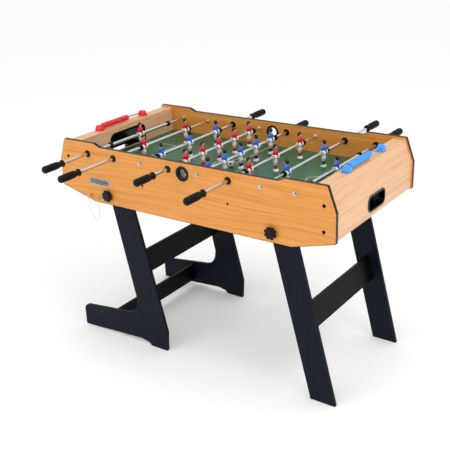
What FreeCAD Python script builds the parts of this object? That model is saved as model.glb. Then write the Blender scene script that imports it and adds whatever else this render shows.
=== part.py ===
import FreeCAD, Part
import math
import os

# Folding foosball table, in millimetres.
# X runs along the table from the red goal (-X) to the blue goal (+X), Y runs along the rods
# from the red players' side (-Y) to the blue players' side (+Y), and Z is up.
# The origin is on the floor, under the middle of the table.

Vector = FreeCAD.Vector

# Cabinet
TABLE_LENGTH = 1210.0
TABLE_WIDTH = 610.0
PANEL_THICKNESS = 12.0
PANEL_BOTTOM = 600.0
PANEL_CHAMFER_TOP = 644.0
PANEL_CHAMFER_RUN = 165.0
PANEL_BEND = 748.0
PANEL_MIDDLE_TOP = 824.0
PANEL_END_TOP = 836.0
PANEL_TOP_SETBACK = 32.0
PANEL_STEP_OUTER = 420.0
PANEL_STEP_INNER = 392.0
PANEL_STEP_RADIUS = 16.0
PANEL_CORNER_RADIUS = 5.0
TRIM_THICKNESS = 1.6

END_X = TABLE_LENGTH / 2
PANEL_OUT = TABLE_WIDTH / 2
PANEL_IN = PANEL_OUT - PANEL_THICKNESS

# Playfield and the wooden battens under it
PITCH_TOP = 727.0
PITCH_THICKNESS = 6.0
PITCH_HALF_LENGTH = 520.0
BATTEN_HEIGHT = 24.0
BATTEN_WIDTH = 16.0
BATTEN_BOTTOM = PITCH_TOP - PITCH_THICKNESS - BATTEN_HEIGHT
CORNER_BLOCK = (545.0, 568.0, 660.0, 785.0)
CORNER_BLOCK_WIDTH = 24.0

# Bent end boards: inner wall, top shelf, slanted face and outer wall in one wrapped board
END_INSET = 7.0
END_TOP = 826.0
END_BOTTOM = 646.0
END_CREASE_X = 569.0
END_INNER_BOTTOM = PITCH_TOP - PITCH_THICKNESS - 6.0
END_OUT = END_X - END_INSET
END_INNER_RADIUS = 2.0
END_CREASE_RADIUS = 3.0
END_EDGE_RADIUS = 1.0

# Goal mouth, and the ball return behind it
GOAL_HALF_WIDTH = 102.0
GOAL_TOP = 801.0
GOAL_RADIUS = 24.0
GOAL_RIM = 5.0
GOAL_WALL = 2.5
RETURN_HALF_WIDTH = 60.0
RETURN_BOTTOM = 670.0
RETURN_TOP = 719.0
RETURN_RADIUS = 17.0
RETURN_RIM = 6.0
RETURN_RIM_PROUD = 2.5
TRAY_WALL = 2.0
TRAY_SHOULDER = RETURN_TOP - 8.0
TRAY_TOP = PITCH_TOP - 1.0
TRAY_CORNER = 3.0

# Ball and its entry holes
BALL_RADIUS = 15.0
BALL_PLACE = Vector(8.0, -19.0, PITCH_TOP + BALL_RADIUS + 0.1)
ENTRY_Z = 783.0
ENTRY_BORE = 18.5
ENTRY_SLEEVE = 22.0
ENTRY_FLANGE = 27.5
ENTRY_PROUD_OUTSIDE = 4.0
ENTRY_PROUD_INSIDE = 3.0

# Rods
ROD_Z = 790.0
ROD_SPACING = 130.0
TUBE_RADIUS = 6.5
TUBE_BORE = 5.6
TUBE_MOUTH_BORE = 4.06
TUBE_MOUTH_RADIUS = 5.9
TUBE_MOUTH_LENGTH = 20.0
INNER_ROD_RADIUS = 4.0
INNER_ROD_COLLAR = 5.54
INNER_ROD_COLLAR_LENGTH = 10.0
INNER_ROD_PLAY = 5.0
INNER_ROD_STUD = 3.0
INNER_ROD_FLANGE = 8.5
INNER_ROD_FLANGE_THICKNESS = 3.0
NUT_RADIUS = 6.2
NUT_HEIGHT = 4.0
WASHER_RADIUS = 8.5
WASHER_THICKNESS = 1.6
CAP_HEIGHT = 3.4
BEARING_BORE = 6.56
BEARING_SLEEVE = 10.5
BEARING_FLANGE = 13.5
BUMPER_RADIUS = 11.0
BUMPER_LENGTH = 12.0
BUMPER_BORE = 6.55
HANDLE_LENGTH = 98.0
HANDLE_RADIUS = 14.0
HANDLE_SOCKET = 74.0

# Each kind of rod: where its men stand, its bumpers, the end of its tube, the start of its handle,
# and how far it slides each way from the middle. All are measured from the rod's own middle.
ROD_KINDS = {
    1: {"men": (0.0,), "bumper": 178.0, "tube_end": 192.0, "handle": 440.0, "travel": 97.0},
    2: {"men": (-132.0, 132.0), "bumper": 152.0, "tube_end": 162.0, "handle": 488.0, "travel": 127.0},
    3: {"men": (-175.0, 0.0, 175.0), "bumper": 200.0, "tube_end": 210.0, "handle": 443.0, "travel": 79.0},
    5: {"men": (-208.0, -104.0, 0.0, 104.0, 208.0), "bumper": 240.0, "tube_end": 250.0,
        "handle": 394.0, "travel": 39.0},
}
# The eight rods from the red goal: team, number of men, and where each has been slid to along Y.
RODS = (
    ("red", 1, 4.0), ("red", 2, 5.0), ("blue", 3, -5.0), ("red", 5, 10.0),
    ("blue", 5, -34.0), ("red", 3, 0.0), ("blue", 2, -5.0), ("blue", 1, -22.0),
)

# Men, measured from the rod's axis
MAN_HUB_RADIUS = 10.5
MAN_HUB_LENGTH = 21.0
HEAD_RADIUS = 9.0
HEAD_CENTRE = 38.0
FOOT_BOTTOM = 56.0
FOOT_TOP = 44.0
FOOT_HALF_DEPTH = 12.5
FOOT_HALF_WIDTH = 10.5

# Legs
PIVOT_X = 366.0
PIVOT_Z = 637.0
LEG_THICKNESS = 12.0
STAND_LEG_OUT = 276.0
STRAIGHT_LEG_OUT = 263.0
LEG_HOLE = 4.05
STUD_RADIUS = 4.0
SPACER_RADIUS = 22.0
RUNNING_GAP = 0.3
KNOB_RADIUS = 24.0
KNOB_HEIGHT = 16.0
KNOB_NECK_RADIUS = 15.0
KNOB_NECK_HEIGHT = 4.0
KNOB_LOBES = 8
KNOB_NOTCH_RADIUS = 5.0
KNOB_NOTCH_REACH = 27.0

# Outlines of the leg boards, as corners (x, z, radius), and the boards across, as
# (x, z, height, lean in degrees)
STAND_LEG_OUTLINE = (
    (-385.0, 607.0, 0), (-297.0, 200.0, 0), (-306.0, 129.0, 62.0), (-603.0, 94.0, 28.0),
    (-603.0, 0.0, 3.0), (-585.0, 0.0, 4.0), (-288.0, 20.0, 22.0), (-250.0, 12.0, 14.0),
    (-238.0, 0.0, 6.0), (-157.0, 0.0, 3.0), (-151.0, 86.0, 20.0), (-278.0, 607.0, 0),
    (-292.0, 691.0, 46.0), (-392.0, 691.0, 44.0),
)
STRAIGHT_LEG_OUTLINE = (
    (491.0, 0.0, 2.0), (591.0, 0.0, 2.0), (442.0, 586.0, 0), (417.0, 684.0, 48.0),
    (317.0, 684.0, 46.0), (342.0, 586.0, 0),
)
STAND_LEG_STRETCHERS = ((-279.0, 348.0, 92.0, -13.0), (-427.0, 69.0, 78.0, 0.0))
STRAIGHT_LEG_STRETCHER = (465.0, 306.0, 98.0, -14.3)

# Lock pin, which holds the folded stand leg through the hole in its front board
PIN_REACH = 91.0
PIN_DROP = 12.5
PIN_RADIUS = 3.0
PIN_BORE = 3.05
PIN_LEG_BORE = 3.4
PIN_TIP = 279.0
PIN_STROKE = 12.0
PIN_COLLAR_RADIUS = 5.5
PIN_COLLAR_LENGTH = 3.0
PIN_NECK = 6.0
PIN_RING_RADIUS = 5.0
PIN_RING_WIRE = 1.1
PIN_RING_DROP = 3.5
PIN_X = -PIVOT_X - PIN_REACH
PIN_Z = PIVOT_Z - PIN_DROP
PIN_LEG_X = -PIVOT_X + PIN_DROP
PIN_LEG_Z = PIVOT_Z - PIN_REACH

# Score counters on the two end boards
SCORE_X = 549.0
SCORE_HALF_LENGTH = 146.0
SCORE_BASE_WIDTH = 32.0
SCORE_BASE_HEIGHT = 3.0
SCORE_BLOCK_LENGTH = 30.0
SCORE_BLOCK_HEIGHT = 22.0
SCORE_BAR_RADIUS = 2.5
SCORE_BAR_Z = END_TOP + 15.0
BEAD_RADIUS = 11.5
BEAD_BORE = 2.56
BEAD_PITCH = 15.2
BEAD_THICKNESS = 14.6
BEAD_COUNT = 10

# Screws, the screw eye and the plain plate
SCREW_SHANK = 2.0
SCREW_HEAD = 6.2
SCREW_DOME = 2.8
SCREW_LENGTH = 30.0
SCREW_POINT = 4.0
END_SCREW_X = 561.0
END_SCREW_HEIGHTS = (678.0, 767.0)
BATTEN_SCREW_X = 190.0
BATTEN_SCREW_Z = 706.0
EYE_SHANK = 1.5
EYE_RADIUS = 4.0
EYE_WIRE = 1.2
PLATE_X = (-457.0, -357.0)
PLATE_Z = (672.5, 697.5)
PLATE_THICKNESS = 1.5

# Lanyard of the lock pin, a thin braided cord from the pin's ring to a screw eye
CORD_RADIUS = 1.0
ANCHOR = Vector(-418.5, -310.5, 616.0)
LANYARD_ROUTE = (
    Vector(-457.0, -322.0, 613.4), Vector(-460.2, -319.5, 599.0), Vector(-458.4, -316.0, 571.0),
    Vector(-450.0, -313.5, 545.0), Vector(-440.5, -312.0, 528.0), Vector(-429.0, -311.3, 525.0),
    Vector(-421.8, -310.9, 541.0), Vector(-419.4, -310.6, 569.0), Vector(-418.2, -310.4, 596.0),
    Vector(-418.5, -310.5, 610.3),
)


def box(x_range, y_range, z_range):
    """A box between two corners, given as ranges."""
    size = [high - low for low, high in (x_range, y_range, z_range)]
    return Part.makeBox(*size, Vector(x_range[0], y_range[0], z_range[0]))


def pin_y(radius, x, z, y_low, y_high):
    """A round bar along Y."""
    return Part.makeCylinder(radius, y_high - y_low, Vector(x, y_low, z), Vector(0, 1, 0))


def rounded_wire(points, radii, closed=True):
    """Straight runs through the points, with each corner turned into a tangent arc."""
    entries = []
    middles = []
    exits = []
    count = len(points)
    for index, (corner, radius) in enumerate(zip(points, radii)):
        free_end = not closed and index in (0, count - 1)
        if free_end or radius == 0:
            entries.append(corner)
            middles.append(None)
            exits.append(corner)
            continue
        before = (points[index - 1] - corner).normalize()
        after = (points[(index + 1) % count] - corner).normalize()
        half_angle = before.getAngle(after) / 2
        reach = radius / math.tan(half_angle)
        bisector = (before + after).normalize()
        entries.append(corner + before * reach)
        middles.append(corner + bisector * (radius / math.sin(half_angle) - radius))
        exits.append(corner + after * reach)
    edges = []
    for index in range(count):
        if middles[index]:
            edges.append(Part.Arc(entries[index], middles[index], exits[index]).toShape())
        following = (index + 1) % count
        last_of_open = not closed and index == count - 1
        if not last_of_open and (entries[following] - exits[index]).Length > 1e-6:
            edges.append(Part.LineSegment(exits[index], entries[following]).toShape())
    return Part.Wire(edges)


def plate_xz(corners, y_low, y_high):
    """A plate across Y whose outline has corners (x, z, radius)."""
    points = [Vector(x, y_low, z) for x, z, _ in corners]
    wire = rounded_wire(points, [radius for _, _, radius in corners])
    return Part.Face(wire).extrude(Vector(0, y_high - y_low, 0))


def plate_yz(corners, x_low, x_high):
    """A plate across X whose outline has corners (y, z, radius)."""
    points = [Vector(x_low, y, z) for y, z, _ in corners]
    wire = rounded_wire(points, [radius for _, _, radius in corners])
    return Part.Face(wire).extrude(Vector(x_high - x_low, 0, 0))


def turned_y(profile, x=0.0, z=0.0):
    """A solid of revolution about the Y direction through (x, z); the profile is (radius, y)."""
    points = [Vector(x + radius, y, z) for radius, y in profile]
    face = Part.Face(Part.makePolygon(points + points[:1]))
    return face.revolve(Vector(x, 0, z), Vector(0, 1, 0), 360)


def mirrored(shape, normal):
    """The shape's mirror image across the plane through the origin with this normal."""
    return shape.mirror(Vector(0, 0, 0), normal)


def both_sides(shape):
    """The shape on the front side, and its mirror image on the back side."""
    return [shape, mirrored(shape, Vector(0, 1, 0))]


def both_ends(shape):
    """The shape at the blue end, and its mirror image at the red end."""
    return [shape, mirrored(shape, Vector(1, 0, 0))]


def save(name, solids):
    """Write one node: a single solid, or a group of separate ones."""
    for solid in solids:
        if not solid.isValid() or len(solid.Solids) != 1:
            raise ValueError("%s is not one valid solid" % name)
    shape = solids[0] if len(solids) == 1 else Part.makeCompound(solids)
    shape.exportStep("parts/%s.step" % name)
    return shape


def rod_x(index):
    """Where rod number index, counted from 0 at the red goal, crosses the table."""
    return (index - (len(RODS) - 1) / 2) * ROD_SPACING


def handle_side(team):
    """Red players stand at the front, -1, and blue players at the back, +1."""
    return -1 if team == "red" else 1


# ---------------------------------------------------------------- cabinet

def panel_outline(shrink=0.0):
    """Corners (x, z, radius) of a side panel, all moved inwards by shrink."""
    top_x = END_X - PANEL_TOP_SETBACK
    slope = PANEL_TOP_SETBACK / (PANEL_END_TOP - PANEL_BEND)
    chamfer = (PANEL_CHAMFER_TOP - PANEL_BOTTOM) / PANEL_CHAMFER_RUN
    slant_shift = shrink * (math.hypot(1, slope) - slope)
    half = (
        (END_X - PANEL_CHAMFER_RUN - shrink * (math.hypot(1, chamfer) - 1) / chamfer,
         PANEL_BOTTOM + shrink, PANEL_CORNER_RADIUS),
        (END_X - shrink, PANEL_CHAMFER_TOP + shrink * (math.hypot(1, chamfer) - chamfer),
         PANEL_CORNER_RADIUS),
        (END_X - shrink, PANEL_BEND - shrink * (math.hypot(1, slope) - 1) / slope,
         PANEL_CORNER_RADIUS),
        (top_x - slant_shift, PANEL_END_TOP - shrink, PANEL_CORNER_RADIUS),
        (PANEL_STEP_OUTER, PANEL_END_TOP - shrink, PANEL_STEP_RADIUS),
        (PANEL_STEP_INNER, PANEL_MIDDLE_TOP - shrink, PANEL_STEP_RADIUS),
    )
    return list(half) + [(-x, z, radius) for x, z, radius in reversed(half)]


def make_side_panels():
    """Front and back panels, bored for bearings, fixed rods, entry cups, screws and knobs."""
    front = plate_xz(panel_outline(TRIM_THICKNESS), -PANEL_OUT, -PANEL_IN)
    panels = []
    for side, blank in zip((-1, 1), both_sides(front)):
        reach = sorted((side * (PANEL_IN - 1), side * (PANEL_OUT + 1)))
        holes = [pin_y(ENTRY_SLEEVE, 0, ENTRY_Z, *reach)]
        for index, (team, _, _) in enumerate(RODS):
            radius = BEARING_SLEEVE if handle_side(team) == side else INNER_ROD_STUD
            holes.append(pin_y(radius, rod_x(index), ROD_Z, *reach))
        for x, z in end_board_screw_places() + batten_screw_places():
            holes.append(pin_y(SCREW_SHANK, x, z, *reach))
        for x in (-PIVOT_X, PIVOT_X):
            holes.append(pin_y(LEG_HOLE, x, PIVOT_Z, *reach))
        if side == -1:
            holes.append(pin_y(PIN_BORE, PIN_X, PIN_Z, *reach))
            holes.append(pin_y(EYE_SHANK, ANCHOR.x, ANCHOR.z, *reach))
        panels.append(blank.cut(Part.makeCompound(holes)))
    return panels


def make_edge_trims():
    """The edge band that runs all round each side panel."""
    outer = plate_xz(panel_outline(), -PANEL_OUT, -PANEL_IN)
    inner = plate_xz(panel_outline(TRIM_THICKNESS), -PANEL_OUT, -PANEL_IN)
    return both_sides(outer.cut(inner))


def end_board_profile():
    """Corners (x, z, radius) of the blue end board's bent section."""
    t = PANEL_THICKNESS
    slope = (END_OUT - END_CREASE_X) / (END_TOP - PANEL_BEND)
    along = math.hypot(1, slope)
    return [
        (PITCH_HALF_LENGTH, END_INNER_BOTTOM, 0),
        (PITCH_HALF_LENGTH, END_TOP, END_INNER_RADIUS),
        (END_CREASE_X, END_TOP, END_CREASE_RADIUS),
        (END_OUT, PANEL_BEND, END_CREASE_RADIUS),
        (END_OUT, END_BOTTOM, END_EDGE_RADIUS),
        (END_OUT - t, END_BOTTOM, END_EDGE_RADIUS),
        (END_OUT - t, PANEL_BEND - t * (along - 1) / slope, 0),
        (END_CREASE_X - t * (along - slope), END_TOP - t, 0),
        (PITCH_HALF_LENGTH + t, END_TOP - t, 0),
        (PITCH_HALF_LENGTH + t, END_INNER_BOTTOM, 0),
    ]


def goal_outline(grow):
    """Corners (y, z, radius) of the goal mouth, open at the playfield, grown by grow."""
    half = GOAL_HALF_WIDTH + grow
    top = GOAL_TOP + grow
    radius = GOAL_RADIUS + grow
    return [(-half, PITCH_TOP, 0), (half, PITCH_TOP, 0), (half, top, radius), (-half, top, radius)]


def return_outline(grow):
    """Corners (y, z, radius) of the ball return's mouth, grown by grow."""
    half = RETURN_HALF_WIDTH + grow
    low = RETURN_BOTTOM - grow
    high = RETURN_TOP + grow
    radius = RETURN_RADIUS + grow
    return [(-half, low, radius), (half, low, radius), (half, high, radius), (-half, high, radius)]


def make_end_boards():
    """Both bent end boards, with the goal mouth and the return mouth cut through them."""
    board = plate_xz(end_board_profile(), -PANEL_IN, PANEL_IN)
    goal = plate_yz(goal_outline(0), PITCH_HALF_LENGTH - 1, PITCH_HALF_LENGTH + PANEL_THICKNESS + 1)
    mouth = plate_yz(return_outline(TRAY_WALL), END_OUT - PANEL_THICKNESS - 1, END_OUT + 1)
    return both_ends(board.cut(goal).cut(mouth))


def make_playfield():
    """The printed playing board."""
    return [box((-PITCH_HALF_LENGTH, PITCH_HALF_LENGTH), (-PANEL_IN, PANEL_IN),
                (PITCH_TOP - PITCH_THICKNESS, PITCH_TOP))]


def make_support_battens():
    """Pine battens under the playfield, and a block in each corner of the cabinet."""
    z_range = (BATTEN_BOTTOM, BATTEN_BOTTOM + BATTEN_HEIGHT)
    half = PITCH_HALF_LENGTH - BATTEN_WIDTH
    long_batten = box((-half, half), (-PANEL_IN, -PANEL_IN + BATTEN_WIDTH), z_range)
    cross_batten = box((half, PITCH_HALF_LENGTH), (-PANEL_IN, PANEL_IN), z_range)
    x_low, x_high, z_low, z_high = CORNER_BLOCK
    block = box((x_low, x_high), (-PANEL_IN, -PANEL_IN + CORNER_BLOCK_WIDTH), (z_low, z_high))
    screws = Part.makeCompound([screw(x, z) for x, z in end_board_screw_places()])
    rail_screws = Part.makeCompound([screw(x, z) for x, z in batten_screw_places()])
    blocks = [blank.cut(screws) for blank in both_ends(block)]
    front = [long_batten.cut(rail_screws)] + blocks
    solids = []
    for solid in front:
        solids.extend(both_sides(solid))
    return solids + both_ends(cross_batten)


def make_goal_frames():
    """A moulded frame that lines each goal mouth, with a flange on the playing side."""
    x_face = PITCH_HALF_LENGTH
    sleeve = plate_yz(goal_outline(0), x_face, x_face + PANEL_THICKNESS)
    flange = plate_yz(goal_outline(GOAL_RIM), x_face - GOAL_WALL, x_face)
    hollow = plate_yz(goal_outline(-GOAL_WALL), x_face - 5, x_face + PANEL_THICKNESS + 1)
    return both_ends(sleeve.fuse(flange).removeSplitter().cut(hollow))


def make_ball_return_trays():
    """A hopper behind each goal that drops the ball to a mouth in the outer wall."""
    x_in = PITCH_HALF_LENGTH + PANEL_THICKNESS
    x_out = END_OUT - PANEL_THICKNESS

    def hopper(shrink):
        half = GOAL_HALF_WIDTH - shrink
        narrow = RETURN_HALF_WIDTH + TRAY_WALL - shrink
        low = RETURN_BOTTOM - TRAY_WALL + shrink
        shoulder = TRAY_SHOULDER + shrink
        top = TRAY_TOP + shrink
        return [(-narrow, low, TRAY_CORNER), (narrow, low, TRAY_CORNER), (half, shoulder, TRAY_CORNER),
                (half, top, 0), (-half, top, 0), (-half, shoulder, TRAY_CORNER)]

    shell = plate_yz(hopper(0), x_in, x_out)
    spout = plate_yz(return_outline(TRAY_WALL), x_out - TRAY_WALL, END_OUT)
    rim = plate_yz(return_outline(RETURN_RIM), END_OUT, END_OUT + RETURN_RIM_PROUD)
    hollow = plate_yz(hopper(TRAY_WALL), x_in + TRAY_WALL, x_out - TRAY_WALL)
    mouth = plate_yz(return_outline(0), x_out - 5, END_OUT + 5)
    tray = shell.fuse([spout, rim]).cut(hollow).cut(mouth)
    return both_ends(tray)


def make_ball_entry_cups():
    """A flanged ring in the middle of each side panel, where the ball is served."""
    out = -PANEL_OUT - ENTRY_PROUD_OUTSIDE
    inside = -PANEL_IN + ENTRY_PROUD_INSIDE
    profile = [
        (ENTRY_BORE, out + 2.5), (ENTRY_BORE + 2, out), (ENTRY_FLANGE - 2, out),
        (ENTRY_FLANGE, out + 1.5), (ENTRY_FLANGE, -PANEL_OUT), (ENTRY_SLEEVE, -PANEL_OUT),
        (ENTRY_SLEEVE, -PANEL_IN), (ENTRY_FLANGE, -PANEL_IN), (ENTRY_FLANGE, inside - 1),
        (ENTRY_FLANGE - 2, inside), (ENTRY_BORE + 1.5, inside), (ENTRY_BORE, inside - 1.5),
    ]
    return both_sides(turned_y(profile, 0, ENTRY_Z))


def make_name_plate():
    """A thin plain plate on the front panel."""
    return [box(PLATE_X, (-PANEL_OUT - PLATE_THICKNESS, -PANEL_OUT), PLATE_Z)]


# ---------------------------------------------------------------- screws

def end_board_screw_places():
    """(x, z) of the screws into the corner blocks."""
    return [(side * END_SCREW_X, z) for side in (-1, 1) for z in END_SCREW_HEIGHTS]


def batten_screw_places():
    """(x, z) of the screws into the long battens."""
    return [(side * BATTEN_SCREW_X, BATTEN_SCREW_Z) for side in (-1, 1)]


def screw(x, z):
    """A domed wood screw through the front panel."""
    face = -PANEL_OUT
    tip = face + SCREW_LENGTH
    profile = [(0, face - SCREW_DOME), (SCREW_HEAD * 0.5, face - SCREW_DOME * 0.88),
               (SCREW_HEAD * 0.8, face - SCREW_DOME * 0.54), (SCREW_HEAD, face), (SCREW_SHANK, face),
               (SCREW_SHANK, tip - SCREW_POINT), (SCREW_SHANK * 0.3, tip), (0, tip)]
    return turned_y(profile, x, z)


def make_cabinet_screws():
    """All cabinet screws, and the screw eye that holds the lanyard."""
    solids = []
    for x, z in end_board_screw_places() + batten_screw_places():
        solids.extend(both_sides(screw(x, z)))
    ring = Part.makeTorus(EYE_RADIUS, EYE_WIRE, Vector(ANCHOR.x, ANCHOR.y, ANCHOR.z), Vector(1, 0, 0))
    neck_end = ANCHOR.y + EYE_RADIUS
    shank = pin_y(EYE_SHANK, ANCHOR.x, ANCHOR.z, neck_end, -PANEL_IN)
    solids.append(ring.fuse(shank))
    return solids


# ---------------------------------------------------------------- rods

def placed_on_rod(shape, index):
    """Move a shape made for a rod along Y, handle to the front, to its place on the table."""
    team, _, slid = RODS[index]
    copy = shape.copy()
    if team == "blue":
        copy.rotate(Vector(0, 0, 0), Vector(0, 0, 1), 180)
    copy.translate(Vector(rod_x(index), slid, ROD_Z))
    return copy


def make_tube(kind):
    """The outer tube: thin walled, closed at the handle and necked in round the inner rod."""
    start = -kind["handle"] - HANDLE_SOCKET
    end = kind["tube_end"]
    neck = end - TUBE_MOUTH_LENGTH
    profile = [
        (0, start), (TUBE_RADIUS, start), (TUBE_RADIUS, end - 6), (TUBE_MOUTH_RADIUS, end - 3),
        (TUBE_MOUTH_RADIUS, end), (TUBE_MOUTH_BORE, end), (TUBE_MOUTH_BORE, neck),
        (TUBE_BORE, neck), (TUBE_BORE, start + 2), (0, start + 2),
    ]
    return turned_y(profile)


def make_handle(kind):
    """A grip with a flared guard, a neck and a domed end, bored for the tube."""
    start = -kind["handle"]
    end = start - HANDLE_LENGTH
    outline = [(0, end), (5, end + 0.5), (9, end + 2), (12, end + 5), (HANDLE_RADIUS - 1, end + 10),
               (HANDLE_RADIUS, end + 16), (HANDLE_RADIUS, end + 42), (HANDLE_RADIUS - 1.2, start - 26),
               (11, start - 18), (9.5, start - 14), (9.5, start - 10), (12.5, start - 7),
               (HANDLE_RADIUS, start - 4.5), (HANDLE_RADIUS, start - 2), (HANDLE_RADIUS - 1.6, start)]
    socket = [(TUBE_RADIUS, start), (TUBE_RADIUS, start - HANDLE_SOCKET), (0, start - HANDLE_SOCKET)]
    return turned_y(outline + socket)


def make_bumpers(kind):
    """Two rubber rings, loose on the tube outside the men."""
    r = BUMPER_RADIUS
    solids = []
    for side in (-1, 1):
        low = side * kind["bumper"] - BUMPER_LENGTH / 2
        high = low + BUMPER_LENGTH
        profile = [(BUMPER_BORE, low), (r - 1.5, low), (r, low + 1.5), (r, high - 1.5), (r - 1.5, high),
                   (BUMPER_BORE, high)]
        solids.append(turned_y(profile))
    return solids


def section(half_depth, half_width, z, radius):
    """A rounded rectangle level with the floor, half_depth along X and half_width along Y."""
    corners = [Vector(-half_depth, -half_width, z), Vector(half_depth, -half_width, z),
               Vector(half_depth, half_width, z), Vector(-half_depth, half_width, z)]
    return rounded_wire(corners, [radius] * 4)


def make_man():
    """One moulded man about the rod's axis, facing +X, in one piece with his hub."""
    hub = pin_y(MAN_HUB_RADIUS, 0, 0, -MAN_HUB_LENGTH / 2, MAN_HUB_LENGTH / 2)
    torso = Part.makeLoft([section(7, 10.5, -4, 4), section(7.5, 13.5, 24, 4), section(4, 8, 30, 3)],
                          True, True)
    neck = Part.makeCylinder(4.5, 6, Vector(0, 0, 28))
    head = Part.makeSphere(HEAD_RADIUS, Vector(0, 0, HEAD_CENTRE))
    legs = Part.makeLoft([section(6, 10.5, -12, 3), section(5.5, 7.5, -FOOT_TOP, 3)], True, True)
    waist = Part.makeLoft([section(7, 10.5, -3, 4), section(6, 10.5, -13, 3)], True, True)
    foot = box((-FOOT_HALF_DEPTH, FOOT_HALF_DEPTH), (-FOOT_HALF_WIDTH, FOOT_HALF_WIDTH),
               (-FOOT_BOTTOM, -FOOT_TOP + 1))
    bore = pin_y(TUBE_RADIUS, 0, 0, -MAN_HUB_LENGTH, MAN_HUB_LENGTH)
    return hub.fuse([torso, neck, head, legs, waist, foot]).cut(bore)


def make_rod_nodes():
    """Tube, handle, bumpers and men of all eight rods."""
    man = make_man()
    nodes = {}
    for index, (_, men_count, _) in enumerate(RODS):
        kind = ROD_KINDS[men_count]
        pieces = {
            "tube": [make_tube(kind)],
            "handle": [make_handle(kind)],
            "bumpers": make_bumpers(kind),
            "men": [man.translated(Vector(0, place, 0)) for place in kind["men"]],
        }
        for piece, shapes in pieces.items():
            node = "rod_%d_%s" % (index + 1, piece)
            nodes[node] = [placed_on_rod(shape, index) for shape in shapes]
    return nodes


def make_rod_bearings():
    """Flanged plastic bearings, one in the panel on each rod's handle side."""
    profile = [
        (BEARING_BORE, -PANEL_OUT - 4), (BEARING_FLANGE - 2, -PANEL_OUT - 4),
        (BEARING_FLANGE, -PANEL_OUT - 2),
        (BEARING_FLANGE, -PANEL_OUT), (BEARING_SLEEVE, -PANEL_OUT), (BEARING_SLEEVE, -PANEL_IN),
        (BEARING_FLANGE, -PANEL_IN), (BEARING_FLANGE, -PANEL_IN + 2), (BEARING_FLANGE - 2, -PANEL_IN + 4),
        (BEARING_BORE, -PANEL_IN + 4),
    ]
    bearing = turned_y(profile)
    solids = []
    for index, (team, _, _) in enumerate(RODS):
        copy = bearing if team == "red" else mirrored(bearing, Vector(0, 1, 0))
        solids.append(copy.translated(Vector(rod_x(index), 0, ROD_Z)))
    return solids


def make_inner_rods():
    """Solid inner rods, bolted to the panel opposite the handle, with a guide collar in the tube."""
    solids = []
    flange = PANEL_IN - INNER_ROD_FLANGE_THICKNESS
    stud_end = PANEL_OUT + WASHER_THICKNESS + NUT_HEIGHT + 0.4
    for index, (team, men_count, _) in enumerate(RODS):
        kind = ROD_KINDS[men_count]
        free_end = kind["tube_end"] - kind["travel"] - TUBE_MOUTH_LENGTH - INNER_ROD_COLLAR_LENGTH
        free_end -= INNER_ROD_PLAY
        profile = [
            (0, free_end), (INNER_ROD_COLLAR, free_end),
            (INNER_ROD_COLLAR, free_end + INNER_ROD_COLLAR_LENGTH),
            (INNER_ROD_RADIUS, free_end + INNER_ROD_COLLAR_LENGTH),
            (INNER_ROD_RADIUS, flange), (INNER_ROD_FLANGE - 1, flange), (INNER_ROD_FLANGE, flange + 1),
            (INNER_ROD_FLANGE, PANEL_IN), (INNER_ROD_STUD, PANEL_IN), (INNER_ROD_STUD, stud_end),
            (0, stud_end),
        ]
        rod = turned_y(profile)
        if team == "blue":
            rod = mirrored(rod, Vector(0, 1, 0))
        solids.append(rod.translated(Vector(rod_x(index), 0, ROD_Z)))
    return solids


def make_inner_rod_nuts():
    """A capped hexagon nut on a washer outside the panel, one for each inner rod."""
    seat = PANEL_OUT + WASHER_THICKNESS
    top = seat + NUT_HEIGHT
    corners = [Vector(NUT_RADIUS * math.cos(math.radians(60 * k)), seat,
                      NUT_RADIUS * math.sin(math.radians(60 * k))) for k in range(6)]
    hexagon = Part.Face(Part.makePolygon(corners + corners[:1])).extrude(Vector(0, NUT_HEIGHT, 0))
    washer = turned_y([(0, PANEL_OUT), (WASHER_RADIUS, PANEL_OUT), (WASHER_RADIUS, seat), (0, seat)])
    cap = turned_y([(0, top), (4.8, top), (4.4, top + CAP_HEIGHT * 0.53), (2.8, top + CAP_HEIGHT * 0.88),
                    (0, top + CAP_HEIGHT)])
    stud = pin_y(INNER_ROD_STUD, 0, 0, PANEL_OUT - 1, top + 0.4)
    nut = washer.fuse([hexagon, cap]).cut(stud)
    solids = []
    for index, (team, _, _) in enumerate(RODS):
        copy = nut if team == "red" else mirrored(nut, Vector(0, 1, 0))
        solids.append(copy.translated(Vector(rod_x(index), 0, ROD_Z)))
    return solids


# ---------------------------------------------------------------- score counters

def make_score_rails():
    """A base strip with two end blocks and the bar that the beads slide on."""
    half = SCORE_HALF_LENGTH
    width = SCORE_BASE_WIDTH / 2
    base = box((SCORE_X - width, SCORE_X + width), (-half, half), (END_TOP, END_TOP + SCORE_BASE_HEIGHT))
    block = plate_xz([(SCORE_X - width, END_TOP, 0), (SCORE_X + width, END_TOP, 0),
                      (SCORE_X + width * 0.72, END_TOP + SCORE_BLOCK_HEIGHT, 5),
                      (SCORE_X - width * 0.72, END_TOP + SCORE_BLOCK_HEIGHT, 5)],
                     -half, -half + SCORE_BLOCK_LENGTH)
    bar = pin_y(SCORE_BAR_RADIUS, SCORE_X, SCORE_BAR_Z, -half + 2, half - 2)
    return both_ends(base.fuse(both_sides(block) + [bar]))


def make_beads(side):
    """Ten ribbed beads, slid together against the front block."""
    r = BEAD_RADIUS
    start = -SCORE_HALF_LENGTH + SCORE_BLOCK_LENGTH + 1
    solids = []
    for number in range(BEAD_COUNT):
        low = start + number * BEAD_PITCH
        high = low + BEAD_THICKNESS
        profile = [(BEAD_BORE, low), (r - 2.5, low), (r, low + 3), (r, high - 3), (r - 2.5, high),
                   (BEAD_BORE, high)]
        solids.append(turned_y(profile, side * SCORE_X, SCORE_BAR_Z))
    return solids


# ---------------------------------------------------------------- legs

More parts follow.
